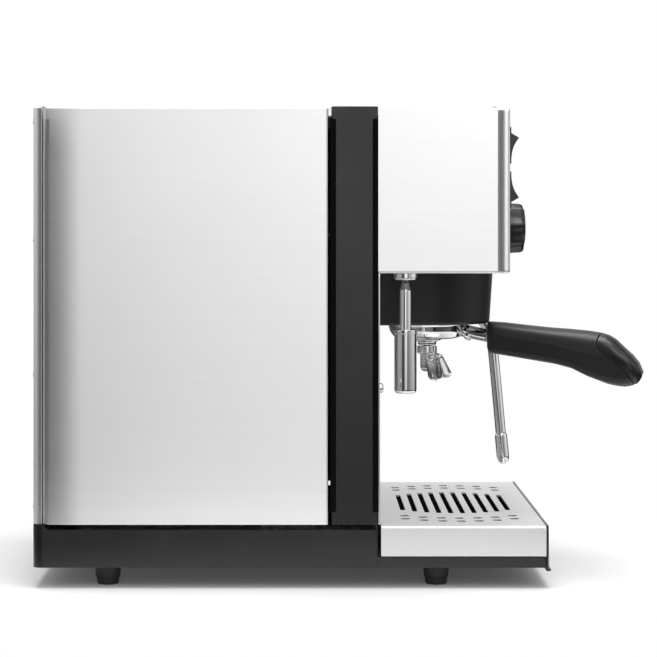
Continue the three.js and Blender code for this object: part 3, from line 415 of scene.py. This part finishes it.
def brushed(name, scale, across, tint=(0.86, 0.86, 0.855), roughness=0.32, directed=0.75):
    """Stainless steel brushed along the axis whose scale is small, so it blurs across that."""
    made, tree, inputs = material(name, tint, roughness, 1.0, Anisotropic=directed)
    blur = node(tree, "CombineXYZ", dict(enumerate(across))).outputs[0]
    tree.links.new(blur, inputs["Tangent"])
    place = node(tree, "TexCoord").outputs["Object"]
    stretched = node(tree, "Mapping", {"Vector": place, "Scale": scale}).outputs[0]
    grain = use(tree, "brushed_grain", {"Vector": stretched, "Roughness": roughness})
    shaded = node(tree, "Mix", {0: 1.0, 6: (*tint, 1), 7: grain["Shade"]}, data_type="RGBA",
                  blend_type="MULTIPLY")
    tree.links.new(shaded.outputs[2], inputs["Base Color"])
    tree.links.new(grain["Roughness"], inputs["Roughness"])
    tree.links.new(grain["Normal"], inputs["Normal"])
    return made


steel_along = brushed("brushed_steel_along", (2600, 26, 2600), (0.05, 0, 1))
for hand, sign in (("left", -1), ("right", 1)):
    low, high = span(f"{hand}_side_panel")
    roll = [(sign * (side - 1.5 * (i / 10) ** 2), high.y - 28.6 + i * 2.6) for i in range(11)]
    path = [(sign * (side - 12), low.y), (sign * side, low.y), *roll]
    path += [(roll[-1][0] - sign * 0.8, high.y), (sign * (side - 12), high.y)]
    levels = [low.z] + [high.z - 40 + 4 * i for i in range(11)]
    bm = bmesh.new()
    folded(bm, path, levels, fold=1.5)
    for vert in bm.verts:
        up = max(0, min(1, (vert.co.z - high.z + 40) / 40))
        if abs(vert.co.x) > side - 1.6 and vert.co.y > low.y + 20:
            vert.co.x += (sign * side - vert.co.x) * 0.6 * up ** 2
    piece(f"side_{hand}", bm, steel_along, "chassis", [f"{hand}_side_panel"],
          sheet=1.2, bevel=0.35, crease=50)


# Rear panel. One brushed sheet that wraps round both rear corners, cut for the mains inlet and
# six air slots, and fixed with eight small domed screws.
rear_low, rear_high = span("rear_panel")
inlet_low, inlet_high = span("power_inlet")
slot_marks = [rear_high.z - 60 + 7 * row + rise for row in range(6) for rise in (0, 3)]
inlet_x = (inlet_low.x + inlet_high.x) / 2
inlet_z = (inlet_low.z + inlet_high.z) / 2
edge_x = side - 1.6
path = [(-edge_x, rear_low.y), (-edge_x + 0.4, rear_high.y), (-60, rear_high.y), (60, rear_high.y),
        (inlet_x - 14, rear_high.y), (inlet_x + 14, rear_high.y), (edge_x - 0.4, rear_high.y),
        (edge_x, rear_low.y)]
bm = bmesh.new()
folded(bm, path, [rear_low.z, inlet_z - 10, inlet_z + 10, *slot_marks, rear_high.z],
       gaps=[(4, 1), *[(2, 3 + 2 * row) for row in range(6)]], fold=6.4, steps=8)
steel_across = brushed("brushed_steel_across", (26, 2600, 2600), (0, 0.05, 1))
piece("rear", bm, steel_across, "chassis", ["rear_panel"], sheet=1.2, bevel=0.25)

polished, tree, inputs = material("polished_steel", (0.72, 0.72, 0.73), 0.06, 1.0)
marks = use(tree, "handling", {"Scale": 60.0})["Marks"]
tree.links.new(calc(tree, "MULTIPLY_ADD", marks, 0.05, 0.04), inputs["Roughness"])


bm = bmesh.new()
screw_profile = [(0, 0), (3.1, 0), (3.1, -0.48), (2.17, -1.36), (0, -1.6)]
for x in (-100, 100):
    for z in (56, 150, 246, 330):
        lathe(bm, screw_profile, (x, rear_high.y - 0.1, z), "y", 24)
piece("rear_screws", bm, polished, "chassis", bevel=0)


# Mains inlet. A black moulded appliance coupler with three flat pins, clipped into the rear
# panel from inside.
plastic = coated("switch_plastic", (0.01, 0.01, 0.011), 0.2, 700.0, 0.06)
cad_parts["power_inlet"].data.materials.clear()
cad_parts["power_inlet"].data.materials.append(plastic)


# Splash panel. A plain brushed stainless sheet over the front of the column, below the head. Two
# polished domed screws hold it near its side edges.
splash_low, splash_high = span("splash_panel")
steel_up = brushed("brushed_steel_up", (2600, 2600, 26), (1, 0.05, 0))
bm = bmesh.new()
prism(bm, rounded(splash_low.x, splash_high.x, splash_low.z, splash_high.z, 1), splash_low.y,
      splash_high.y, "y")
piece("splash", bm, steel_up, "chassis", ["splash_panel"], bevel=0.35)
for hand in ("left", "right"):
    low, high = span(f"splash_screw_{hand}")
    middle = (low + high) / 2
    bm = bmesh.new()
    lathe(bm, softened([
        (0, 0), (1.4, 0), (1.4, 3.8), (3.5, 3.8), (3.4, 5.0), (2.3, 6.1), (0.9, 6.35), (0.9, 5.4),
        (0, 5.4)], 0.3), (middle.x, high.y, middle.z), "y", 32)
    piece(f"splash_screw_{hand}_head", bm, polished, "chassis",
          [f"splash_screw_{hand}"], bevel=0)


# Top tray. A shallow brushed pan that closes cabinet and head and warms cups. Its floor is
# slotted over the boiler and open over the tank, and its rim stands just above the panels.
def perforated(bm, rings, level, axis="z"):
    """A flat sheet between closed outlines, the first of them its edge."""
    edges = []
    for ring in rings:
        verts = [bm.verts.new((a, b, level) if axis == "z" else (a, level, b)) for a, b in ring]
        edges += [bm.edges.new(pair) for pair in zip(verts, verts[1:] + verts[:1])]
    normal = (0, 0, 1) if axis == "z" else (0, -1, 0)
    bmesh.ops.triangle_fill(bm, edges=edges, use_beauty=True, use_dissolve=False, normal=normal)
    return edges[:len(rings[0])]


def skirt(bm, edges, move):
    """Draws edges of a sheet out into a wall."""
    drawn = bmesh.ops.extrude_edge_only(bm, edges=edges)["geom"]
    bmesh.ops.translate(bm, vec=move, verts=[v for v in drawn if isinstance(v, bmesh.types.BMVert)])


def round_fold(bm, edges, radius, steps=4):
    """Gives the folds that the edges mark a bend radius."""
    bmesh.ops.bevel(bm, geom=edges, offset=radius, segments=steps, profile=0.5, affect="EDGES",
                    offset_type="OFFSET", material=-1)


tray_low, tray_high = span("top_tray")
lid_low, lid_high = span("tank_lid")
group_y = -64.38
rings = [rounded(tray_low.x, tray_high.x, tray_low.y, tray_high.y, 4),
         rounded(lid_low.x + 4, lid_high.x - 4, lid_low.y + 4, lid_high.y - 4, 8)]
for i in range(9):
    y = group_y + 32 - 8 * i
    rings.append(rounded(-55, 55, y - 3.5, y, 1.7, steps=5))
bm = bmesh.new()
edge = perforated(bm, rings, tray_low.z)
skirt(bm, edge, (0, 0, tray_high.z - tray_low.z))
round_fold(bm, edge, 1.6)
piece("tray", bm, steel_across, "chassis", ["top_tray"], sheet=1.2, bevel=0.25)


# Tank lid. A loose brushed plate that covers the tank opening, with rounded corners and its
# front edge turned up in the middle as a finger grip.
bm = bmesh.new()
prism(bm, rounded(lid_low.x, lid_high.x, lid_low.y, lid_high.y, 8), lid_low.z, lid_low.z + 1.4)
prism(bm, rounded(-22, 22, lid_low.z + 1, lid_high.z, 0.2, 3), lid_low.y, lid_low.y + 1.4, "y")
piece("lid", bm, steel_across, "tank_lid", ["tank_lid"], bevel=0.35)


# Head shell. One brushed sheet folded into both sides and the floor of the head. The floor is
# cut for the group, the discharge pipe and the steam wand.
def circle(x, y, radius, count=40):
    return [(x + radius * cos(2 * pi * i / count), y + radius * sin(2 * pi * i / count))
            for i in range(count)]


discharge = (-90, -43.4)
wand = (85, -89.88)
bm = bmesh.new()
edge = perforated(bm, [
    [(-side, head_low.y), (side, head_low.y), (side, head_high.y), (-side, head_high.y)],
    circle(0, group_y, 31.5, 64), circle(*discharge, 3.2, 24), circle(*wand, 6.15, 24)], head_low.z)
skirt(bm, [edge[1], edge[3]], (0, 0, head_high.z - head_low.z))
round_fold(bm, [edge[1], edge[3]], 1.5)
piece("head", bm, steel_along, "chassis", ["head_shell"], sheet=1.2, bevel=0.35)


# Front panel. A shallow brushed pan with softly rounded edges that closes the head, cut for the
# two rows of switches, the lamps and the steam spindle.
panel_low, panel_high = span("front_panel")
switch_places = {(row, hand): (x, z) for row, z in (("upper", 313.2), ("lower", 281.2))
                 for hand, x in (("left", -87), ("right", -60))}
knob_low, knob_high = span("steam_knob")
knob_centre = ((knob_low.x + knob_high.x) / 2, (knob_low.z + knob_high.z) / 2)
rings = [rounded(panel_low.x, panel_high.x, panel_low.z, panel_high.z, 2)]
rings += [[(x - 9.3, z - 12.2), (x + 9.3, z - 12.2), (x + 9.3, z + 12.2), (x - 9.3, z + 12.2)]
          for x, z in switch_places.values()]
rings += [circle(-34, 313.2, 4.3, 24), circle(-34, 281.2, 4.3, 24), circle(*knob_centre, 5.5, 32)]
bm = bmesh.new()
edge = perforated(bm, rings, panel_low.y, "y")
inward, loop = 0.0, edge
for i, share in enumerate((0.36, 0.16, 0.16, 0.16, 0.16)):
    drawn = bmesh.ops.extrude_edge_only(bm, edges=loop)["geom"]
    loop = [item for item in drawn if isinstance(item, bmesh.types.BMEdge)
            and all(vert in drawn for vert in item.verts)]
    step = 1.5 * (i / 4) ** 1.6 - inward
    inward += step
    for vert in {vert for item in loop for vert in item.verts}:
        vert.co.y += (panel_high.y - panel_low.y) * share
        vert.co.x *= 1 - step / side
round_fold(bm, edge, 1.8, 5)
piece("front", bm, steel_across, "chassis", ["front_panel"], sheet=1.2, bevel=0.2)


# Rocker switches. Four black moulded housings clipped into the front panel, each with a glossy
# rocker whose face is hollowed between a raised tip and a pressed tip.
rocker_axis = -114.38
rocker_tilt = 19
for (row, hand), (x, z) in switch_places.items():
    low, high = span(f"switch_housing_{row}_{hand}")
    bm = bmesh.new()
    rim = prism(bm, rounded(low.x, high.x, low.z, high.z, 1.6), panel_low.y - 0.1, low.y, "y")
    hollow(bm, rim, 1.9, 12)
    prism(bm, rounded(x - 9, x + 9, z - 11.9, z + 11.9, 0.6), panel_low.y + 10, high.y, "y")
    piece(f"bezel_{row}_{hand}", bm, plastic, "chassis",
          [f"switch_housing_{row}_{hand}"], bevel=0.5, segments=3)
    sign = 1 if row == "upper" else -1
    face = [(-7.8 + 1.5 * sin(pi * i / 16), 8.5 - 17 * i / 16) for i in range(17)]
    belly = [(9 * cos(pi * (i / 12 - 0.5)), 9 * sin(pi * (i / 12 - 0.5))) for i in range(13)]
    outline = face + [(-0.5, -9.9)] + belly + [(-0.5, 9.9)]
    bm = bmesh.new()
    prism(bm, outline, -7.7, 7.7, "x")
    turn = Matrix.Rotation(radians(rocker_tilt * sign), 3, "X")
    bmesh.ops.rotate(bm, cent=(0, 0, 0), matrix=turn, verts=bm.verts)
    bmesh.ops.translate(bm, vec=(x, rocker_axis, z), verts=bm.verts)
    piece(f"rocker_face_{row}_{hand}", bm, plastic, f"rocker_{row}_{hand}",
          [f"rocker_{row}_{hand}"], bevel=0.45, segments=3)


# Indicator lamps. Two snap-in neon lamps with domed plastic lenses, red for mains and amber for
# the boiler.
def lens(name, color):
    made, tree, inputs = material(name, color, 0.12, Transmission_Weight=0.35, Coat_Weight=0.6)
    place = node(tree, "TexCoord").outputs["Object"]
    mottle = node(tree, "TexNoise", {"Vector": place, "Scale": 500.0}).outputs[0]
    tree.links.new(calc(tree, "MULTIPLY_ADD", mottle, 0.1, 0.07), inputs["Roughness"])
    inputs["Emission Color"].default_value = (*color, 1)
    inputs["Emission Strength"].default_value = 0.15
    return made


for row, finish, slot in (("upper", lens("red_lens", (0.5, 0.02, 0.012)), "red_lens"),
                          ("lower", lens("amber_lens", (0.75, 0.25, 0.02)), "amber_lens")):
    low, high = span(f"lamp_{row}")
    z = (low.z + high.z) / 2
    bm = bmesh.new()
    lathe(bm, softened([(0, 0), (4, 0), (4, 14.3), (5.2, 14.3), (5.2, 15.1), (4.4, 15.3), (4.1, 16.2),
                        (2.4, 17.1), (0, 17.4)], 0.35), (-34, high.y, z), "y", 40)
    piece(f"lamp_{row}_lens", bm, finish, "chassis", [f"lamp_{row}"], bevel=0)


# Steam knob. A black moulded knob with eight wide scallops round its rim and a gently domed front,
# pushed onto the valve's polished spindle.
def scalloped(angle):
    """How deep a scallop is at this angle: 0 on a ridge, 1 in the middle, eight to a turn."""
    return (0.5 + 0.5 * cos(8 * angle)) ** 0.7


bm = bmesh.new()
proud = knob_high.y - knob_low.y
lathe(bm, softened([
    (0, 0), (12, 0), (14, 3.6), (19.2, 5.2), (20.4, 7), (20.4, 12), (20, 17), (19.6, proud - 3.6),
    (18.4, proud - 1.5), (13, proud - 0.5), (7, proud - 0.1), (0, proud)], 1.4, 5),
    (knob_centre[0], knob_high.y, knob_centre[1]), "y", 160)
bmesh.ops.remove_doubles(bm, verts=bm.verts, dist=0.001)
for vert in bm.verts:
    across = Vector((vert.co.x - knob_centre[0], 0, vert.co.z - knob_centre[1]))
    ahead = knob_high.y - vert.co.y
    if across.length > 12 and ahead > 5:
        depth = 3.4 * min(1, (across.length - 12) / 6) * ((ahead - 5) / (proud - 5)) ** 0.8
        turn = Vector((1, 0)).angle_signed(Vector((across.x, across.z)))
        vert.co -= across.normalized() * depth * scalloped(turn + radians(14))
knob_plastic = coated("knob_plastic", (0.013, 0.0135, 0.015), 0.28, 900.0, 0.1)
piece("knob", bm, knob_plastic, "steam_knob", ["steam_knob"], bevel=0, crease=60)


# Brewing group cover. A moulded black plastic shroud, straight beside the group and half round in
# front, that narrows a little downwards and hides the cast group head.
cover_low, cover_high = span("group_cover")
radius = cover_high.x
path = [(-radius, cover_high.y), (-radius, group_y + 14)]
path += [(radius * cos(pi + pi * i / 48), group_y + radius * sin(pi + pi * i / 48)) for i in range(49)]
path += [(radius, group_y + 14), (radius, cover_high.y)]
bm = bmesh.new()
levels = [cover_low.z, cover_low.z + 0.9, cover_low.z + 2.2, cover_low.z + 14, cover_high.z]
folded(bm, path, levels)
for vert in bm.verts:
    down = (cover_high.z - vert.co.z) / (cover_high.z - cover_low.z)
    inward = 2.7 * down + max(0, 1 - (vert.co.z - cover_low.z) / 2.2) ** 2
    across = Vector((vert.co.x, min(0, vert.co.y - group_y), 0))
    vert.co -= across.normalized() * inward
soft_plastic = coated("soft_plastic", (0.009, 0.009, 0.0095), 0.34, 1300.0, 0.1)
piece("cover", bm, soft_plastic, "chassis", ["group_cover"], sheet=2, bevel=0.3)


# Portafilter. A chromed brass bowl with two locking lugs and a neck, turned and polished. It is
# locked into the group a little to the left of straight ahead.
handle_turn = -17


def set_in_group(bm):
    """Moves a piece drawn about the portafilter's own axis, handle towards -y, into the group."""
    turn = Matrix.Rotation(radians(handle_turn), 3, "Z")
    bmesh.ops.rotate(bm, cent=(0, 0, 0), matrix=turn, verts=bm.verts)
    bmesh.ops.translate(bm, vec=(0, group_y, 0), verts=bm.verts)


def loft(bm, rings, closed=True, caps=True):
    """Joins rings of points, in order, into a skin, with a face on each end."""
    loops = []
    for ring in rings:
        verts = [bm.verts.new(point) for point in ring]
        pairs = zip(verts, verts[1:] + verts[:1]) if closed else zip(verts, verts[1:])
        loops.append((verts, [bm.edges.new(pair) for pair in pairs]))
    for (near, _), (far, _) in zip(loops, loops[1:]):
        last = len(near) if closed else len(near) - 1
        for i in range(last):
            j = (i + 1) % len(near)
            bm.faces.new((near[i], near[j], far[j], far[i]))
    if caps:
        bm.faces.new(loops[0][0])
        bm.faces.new(loops[-1][0])


def along(route, count):
    """Evenly numbered points and directions on a smooth curve through the route."""
    points = [Vector(point) for point in route]
    points = [2 * points[0] - points[1]] + points + [2 * points[-1] - points[-2]]
    smooth = []
    for i in range(count):
        place = i / (count - 1) * (len(points) - 3)
        k = min(int(place), len(points) - 4)
        t = place - k
        a, b, c, d = points[k:k + 4]
        smooth.append(0.5 * (2 * b + (c - a) * t + (2 * a - 5 * b + 4 * c - d) * t ** 2
                             + (3 * b - a - 3 * c + d) * t ** 3))
    ahead = [(after - before).normalized()
             for before, after in zip(smooth[:1] + smooth, smooth[1:] + smooth[-1:])]
    return smooth, ahead


def tube(bm, route, radius, count, up=(1, 0, 0), sides=24, caps=True):
    """A round tube on a smooth curve through the route."""
    rings = []
    for point, ahead in zip(*along(route, count)):
        across = Vector(up).cross(ahead).normalized()
        other = ahead.cross(across)
        turns = [2 * pi * i / sides for i in range(sides)]
        rings.append([point + radius * (across * cos(a) + other * sin(a)) for a in turns])
    loft(bm, rings, caps=caps)


cover_z = cover_low.z
lug_bottom = cover_z + 13.9 - 0.8 - 4.8
bm = bmesh.new()
lathe(bm, softened([
    (3.4, cover_z - 17.3), (7, cover_z - 17.3), (7, cover_z - 14.5), (10.7, cover_z - 13.5),
    (10.7, cover_z - 11.5), (21, cover_z - 12), (25.6, cover_z - 10.6), (28.4, cover_z - 6.4),
    (29.6, cover_z - 1), (32, cover_z + 1), (33, lug_bottom), (33, cover_z + 13.9),
    (29.1, cover_z + 13.9), (29.1, cover_z + 1), (24.5, cover_z - 6.7), (23, cover_z - 8.7),
    (3.4, cover_z - 8.7), (3.4, cover_z - 17.3)], 1.3, 5), (0, 0, 0), steps=96)
neck_z = cover_z - 6.4
tube(bm, [(0, -26, neck_z + 1), (0, -33, neck_z - 0.4), (0, -40, neck_z - 1.8), (0, -46.2, neck_z - 3)],
     4.9, 12, sides=32)
collar = []
for forward, scale, drop in ((27.6, 0.72, 0.6), (28.2, 0.98, 0.5), (30.4, 1.0, 0.1), (31.6, 0.9, -0.2),
                             (32, 0.72, -0.3)):
    ring = circle(0, 0, 7.2 * scale, 32)
    collar.append([Vector((a, 0.35 * b - forward, neck_z + drop + b)) for a, b in ring])
loft(bm, collar)
for turn in (0, pi):
    arc = [turn + radians(-26 + 52 * i / 10) for i in range(11)]
    outline = [(32.4 * cos(a), 32.4 * sin(a)) for a in arc]
    outline += [(36.2 * cos(a), 36.2 * sin(a)) for a in arc[::-1]]
    prism(bm, outline, lug_bottom, lug_bottom + 4.8)
set_in_group(bm)
piece("bowl", bm, polished, "portafilter", ["portafilter_body"], bevel=0, crease=40)


# Double spout. A polished casting screwed below the bowl: a collar, a round-ended barrel and two
# scoop-like gutters that lean outwards, open all along their upper side.
hub_z = cover_z - 17.6
bm = bmesh.new()
lathe(bm, softened([
    (0, hub_z - 20), (3.2, hub_z - 19.8), (4.9, hub_z - 17.6), (5.2, hub_z - 15), (5.2, hub_z - 7),
    (7.6, hub_z - 5.5), (7.6, hub_z), (0, hub_z)], 0.8, 4), (0, 0, 0), steps=60)
set_in_group(bm)
satin, tree, inputs = material("satin_chrome", (0.66, 0.66, 0.67), 0.2, 1.0)
marks = use(tree, "handling", {"Scale": 80.0})["Marks"]
tree.links.new(calc(tree, "MULTIPLY_ADD", marks, 0.12, 0.16), inputs["Roughness"])
piece("spout", bm, polished, "portafilter", ["double_spout"], bevel=0, crease=35)
for hand, name in ((-1, "left"), (1, "right")):
    route = [(hand * 7.5, -5, hub_z - 5), (hand * 11.5, -7.4, hub_z - 10.6),
             (hand * 15.4, -9.8, hub_z - 17.2), (hand * 19, -12, hub_z - 25)]
    rings = []
    for i, (point, ahead) in enumerate(zip(*along(route, 41))):
        size = 6 * sqrt(1 - (max(0, abs(i - 20) - 12.5) / 7.6) ** 2)
        across = Vector((0, 0, 1)).cross(ahead).normalized()
        other = ahead.cross(across)
        turns = [pi * j / 16 for j in range(32)]
        rings.append([point + size * (across * cos(a) + other * sin(a)) for a in turns])
    bm = bmesh.new()
    loft(bm, rings)
    bmesh.ops.bisect_plane(bm, geom=bm.verts[:] + bm.edges[:] + bm.faces[:], clear_outer=True,
                           plane_co=(hand * 12.6, -8.3, hub_z - 16.2),
                           plane_no=(hand * 0.78, -0.25, 0.57))
    set_in_group(bm)
    piece(f"gutter_{name}", bm, satin, "portafilter", sheet=0.9, bevel=0.2)


# Handle. A heavy black moulded grip with a rounded top and a flat side under a soft crease, drawn
# onto the tang, and a separate end cap that is pressed onto its front.
start = radius - 2.7 + 0.5
top_line = [(0, 1.5), (12, 0.9), (30, -0.8), (46, -2.2), (62, -3.1), (76, -4.2), (85, -5.5)]
cap_line = [(85, -5.5), (90, -7), (95, -9.9), (99.5, -14.2), (108, -21.3), (112.8, -27.2), (115.2, -33)]
under_line = [(0, -20), (2, -22.4), (14, -24), (36, -27.2), (52, -29.6), (64, -32.6), (76, -38.3),
              (91, -43.6), (98, -44.9), (103, -45.3), (107.5, -44.6), (110.5, -42.9)]
seam = [(85, -5.5), (82.4, -13), (82.2, -17), (87.6, -20.4), (95.6, -25.4), (104, -33.6),
        (110.5, -42.9)]


def sample(points, place):
    """A point a share of the way along a polyline, by its length."""
    vectors = [Vector(point) for point in points]
    lengths = [(b - a).length for a, b in zip(vectors, vectors[1:])]
    rest = place * sum(lengths)
    for a, b, length in zip(vectors, vectors[1:], lengths):
        if rest <= length:
            return a.lerp(b, rest / length)
        rest -= length
    return vectors[-1]


def plan_width(forward):
    """Half the handle's width this far along it, with its plan's round ends."""
    if forward < 7:
        return 7 + sqrt(max(0, 49 - (7 - forward) ** 2))
    return 14 * sqrt(max(0, 1 - max(0, (forward - 103) / 13.2) ** 3))


def section(place):
    """Share of the full width at a share of the height down: round top, crease, flat, round foot."""
    if place < 0.2:
        return 0.94 * sqrt(1 - (1 - place / 0.2) ** 2.2)
    if place < 0.4:
        return 0.94 + 0.06 * (place - 0.2) / 0.2
    if place < 0.82:
        return 1 - 0.09 * (place - 0.4) / 0.42
    return 0.91 * max(0, 1 - ((place - 0.82) / 0.18) ** 2.4) ** 0.45


def patch(bm, top, under, rear, front, columns, blunt=0):
    """A handle length between two end lines, drawn as a blend of its four side-view edges.

    With blunt at 1 its section turns into a fuller one towards the front.
    """
    downs = [0.5 - 0.5 * cos(pi * j / 20) for j in range(21)]
    corners = [Vector(point) for point in (top[0], top[-1], under[0], under[-1])]
    rings = []
    for i in range(columns + 1):
        s = i / columns
        right, left = [], []
        for t in downs:
            flat = (sample(top, s) * (1 - t) + sample(under, s) * t + sample(rear, t) * (1 - s)
                    + sample(front, t) * s)
            flat -= ((1 - t) * ((1 - s) * corners[0] + s * corners[1])
                     + t * ((1 - s) * corners[2] + s * corners[3]))
            full = blunt * min(1, 3 * s)
            half = plan_width(flat.x) * (section(t) * (1 - full) + full * sqrt(1 - abs(2 * t - 1) ** 6))
            right.append(Vector((half, -start - flat.x, cover_z + flat.y)))
            left.append(Vector((-half, -start - flat.x, cover_z + flat.y)))
        rings.append(right + left[-2:0:-1])
    loft(bm, rings)
    set_in_group(bm)


grip_plastic = coated("grip_plastic", (0.011, 0.011, 0.0115), 0.36, 1400.0, 0.09)
cap_plastic = coated("cap_plastic", (0.01, 0.01, 0.0105), 0.26, 1400.0, 0.06)
bm = bmesh.new()
patch(bm, top_line, under_line, [(0, 1.5), (0, -20)], seam, 44)
piece("grip", bm, grip_plastic, "portafilter", ["handle_grip"], bevel=0.6, segments=3,
      crease=50)
bm = bmesh.new()
ahead = [(f + 0.8, z - 0.1) for f, z in seam]
patch(bm, [(f + 0.8 * (f < 100), z) for f, z in cap_line],
      [(111.3, -42.4), (113.3, -40.6), (114.8, -38.2), (115.4, -35.6)], ahead,
      [(115.2, -33), (115.4, -34.3), (115.4, -35.6)], 24, blunt=1)
piece("cap", bm, cap_plastic, "portafilter", ["handle_end_cap"], bevel=0.3, crease=50)


# Discharge pipe. Brewing pressure is let off to the tray through a short polished pipe under the
# head: a nut, a neck that swells into a tube, and a loose sleeve with a rounded foot.
head_z = head_low.z
bm = bmesh.new()
lathe(bm, softened([
    (2.4, head_z - 5.5), (7.6, head_z - 5.5), (8.75, head_z - 4.3), (8.75, head_z - 0.3),
    (2.4, head_z - 0.3)], 0.5), (*discharge, 0))
piece("nut", bm, polished, "chassis", ["discharge_nut"], bevel=0)
bm = bmesh.new()
lathe(bm, softened([
    (0, cover_z - 8.2), (4.25, cover_z - 8.2), (4.25, head_z - 13.2), (2.1, head_z - 6.2),
    (2.1, head_z - 1), (0, head_z - 1)], 0.8), (*discharge, 0))
piece("pipe", bm, polished, "chassis", ["discharge_tube"], bevel=0)
sleeve_z = cover_z - 0.2
bm = bmesh.new()
lathe(bm, softened([
    (0, sleeve_z - 12), (5, sleeve_z - 12), (5, sleeve_z - 44), (6, sleeve_z - 45.7),
    (7.2, sleeve_z - 45.4), (8, sleeve_z - 43.4), (8.1, sleeve_z - 3), (8.4, sleeve_z - 2.6),
    (8.4, sleeve_z), (4.55, sleeve_z), (4.55, sleeve_z - 9), (0, sleeve_z - 9)], 0.5, 4),
    (*discharge, 0))
piece("sleeve", bm, polished, "chassis", ["discharge_sleeve"], bevel=0)


# Steam wand. A bent polished tube that swivels in a turned socket under the head, with a screwed
# nozzle that has a rounded end.
wand_route = [(0, -3), (0, -8), (0, -13), (4, -22), (15, -33.5), (25.5, -46), (31, -58), (33, -71),
              (36, -102), (38.9, -134)]
bm = bmesh.new()
lathe(bm, softened([(4.3, head_z - 9), (8, head_z - 9), (9, head_z - 7.5), (9, head_z - 0.3),
                    (4.3, head_z - 0.3), (4.3, head_z - 9)], 0.8, 4), (*wand, 0))
piece("socket", bm, polished, "chassis", ["wand_socket"], bevel=0)
bm = bmesh.new()
tube(bm, [(wand[0], wand[1] - f, head_z + z) for f, z in wand_route], 4.15, 90, sides=32)
piece("wand", bm, polished, "steam_wand", ["steam_wand"], bevel=0)
bm = bmesh.new()
lathe(bm, softened([
    (0, -25), (1.6, -25), (3.9, -23.4), (5, -20), (5, -1.5), (4.2, 0), (0, 0)], 1.2, 5),
    (0, 0, 0), steps=48)
lean = Matrix.Rotation(-0.0937, 3, "X")
bmesh.ops.rotate(bm, cent=(0, 0, 0), matrix=lean, verts=bm.verts)
nozzle_top = span("wand_nozzle")[1].z
bmesh.ops.translate(bm, vec=(wand[0], wand[1] - 38.9, nozzle_top), verts=bm.verts)
piece("nozzle", bm, polished, "steam_wand", ["wand_nozzle"], bevel=0)


# Drip pan. A black coated steel drawer that slides out under the grille. Its tall front plate
# ends in a small forward lip.
pan_low, pan_high = span("drip_pan")
plate_y = pan_low.y + 3
bm = bmesh.new()
well = prism(bm, rounded(-115.5, 115.5, plate_y - 0.2, pan_high.y, 1), 22.6, 42.6)
hollow(bm, well, 1.5, 18.5)
prism(bm, [(plate_y, 12.3), (plate_y, pan_high.z), (plate_y - 1.5, pan_high.z), (plate_y - 1.5, 13.9),
           (plate_y - 3, 13.9), (plate_y - 3, 12.3)], pan_low.x, pan_high.x, "x")
piece("pan", bm, black_paint, "drip_pan", ["drip_pan"], bevel=0.5, segments=3)


# Drip grille. A brushed cover that lies on the pan, with its sides folded down. A field of long
# slots lies between two double columns of round holes. Its steel is duller than the panels'.
grille_low, grille_high = span("drip_grille")
middle = (grille_low.y + grille_high.y) / 2
rings = [[(grille_low.x, grille_low.y), (grille_high.x, grille_low.y), (grille_high.x, grille_high.y),
          (grille_low.x, grille_high.y)]]
for i in range(10):
    offset = (i - 4.5) * 8.68
    half = sqrt(56 ** 2 - offset ** 2)
    rings.append(rounded(-half, half, middle + offset - 1.9, middle + offset + 1.9, 1.89, steps=6))
for i in range(7):
    offset = (i - 3) * 13.1
    for reach in (94, 79.6):
        bow = 71 - sqrt(71 ** 2 - offset ** 2)
        rings += [circle(sign * (reach - bow), middle + offset, 3.5, 28) for sign in (-1, 1)]
bm = bmesh.new()
edge = perforated(bm, rings, grille_high.z)
skirt(bm, [edge[1], edge[3]], (0, 0, grille_low.z - grille_high.z))
round_fold(bm, [edge[1], edge[3]], 1.6)
steel_dull = brushed("dull_steel", (2600, 60, 2600), (0.05, 0, 1), tint=(0.75, 0.75, 0.745),
                     roughness=0.42, directed=0.2)
piece("grille", bm, steel_dull, "drip_grille", ["drip_grille"], sheet=1.2, bevel=0.25)


# Inner works and tank. Boiler, valves, pump, pipes, group castings and the clear tank stay as
# they were designed. Only their finishes are given here: brass, copper, cast alloy and plastics.
def dress(finish, *names):
    """Gives CAD pieces a finish."""
    for name in names:
        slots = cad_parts[name].data.materials
        slots.clear()
        slots.append(finish)


def metal(name, color, roughness, scale):
    """A bare metal, mottled where it has been handled and heated."""
    made, tree, inputs = material(name, color, roughness, 1.0)
    marks = use(tree, "handling", {"Scale": scale})["Marks"]
    tone = node(tree, "Mix", {0: marks, 6: (*color, 1), 7: (*[part * 0.7 for part in color], 1)},
                data_type="RGBA")
    tree.links.new(tone.outputs[2], inputs["Base Color"])
    tree.links.new(calc(tree, "MULTIPLY_ADD", marks, 0.2, roughness), inputs["Roughness"])
    return made


dress(polished, "steam_spindle", "shower_screen", "shower_screw", "filter_basket")
dress(black_paint, "pump_bracket")
dress(rubber, "group_gasket")
dress(metal("brass", (0.62, 0.44, 0.16), 0.3, 45.0), "boiler_body", "boiler_cover", "steam_valve_body")
dress(metal("copper", (0.72, 0.33, 0.18), 0.25, 70.0), "steam_pipe", "valve_pipe", "feed_pipe")
alloy = metal("cast_alloy", (0.5, 0.5, 0.51), 0.42, 90.0)
dress(alloy, "group_head", "brew_thermostat", "steam_thermostat", "solenoid_valve")
dress(coated("pump_plastic", (0.66, 0.64, 0.58), 0.4, 800.0, 0.1), "pump", "tank_coupling")
clear = coated("clear_plastic", (0.86, 0.92, 0.95), 0.08, 120.0, 0.02, Transmission_Weight=0.9,
               IOR=1.49)
dress(clear, "water_tank")
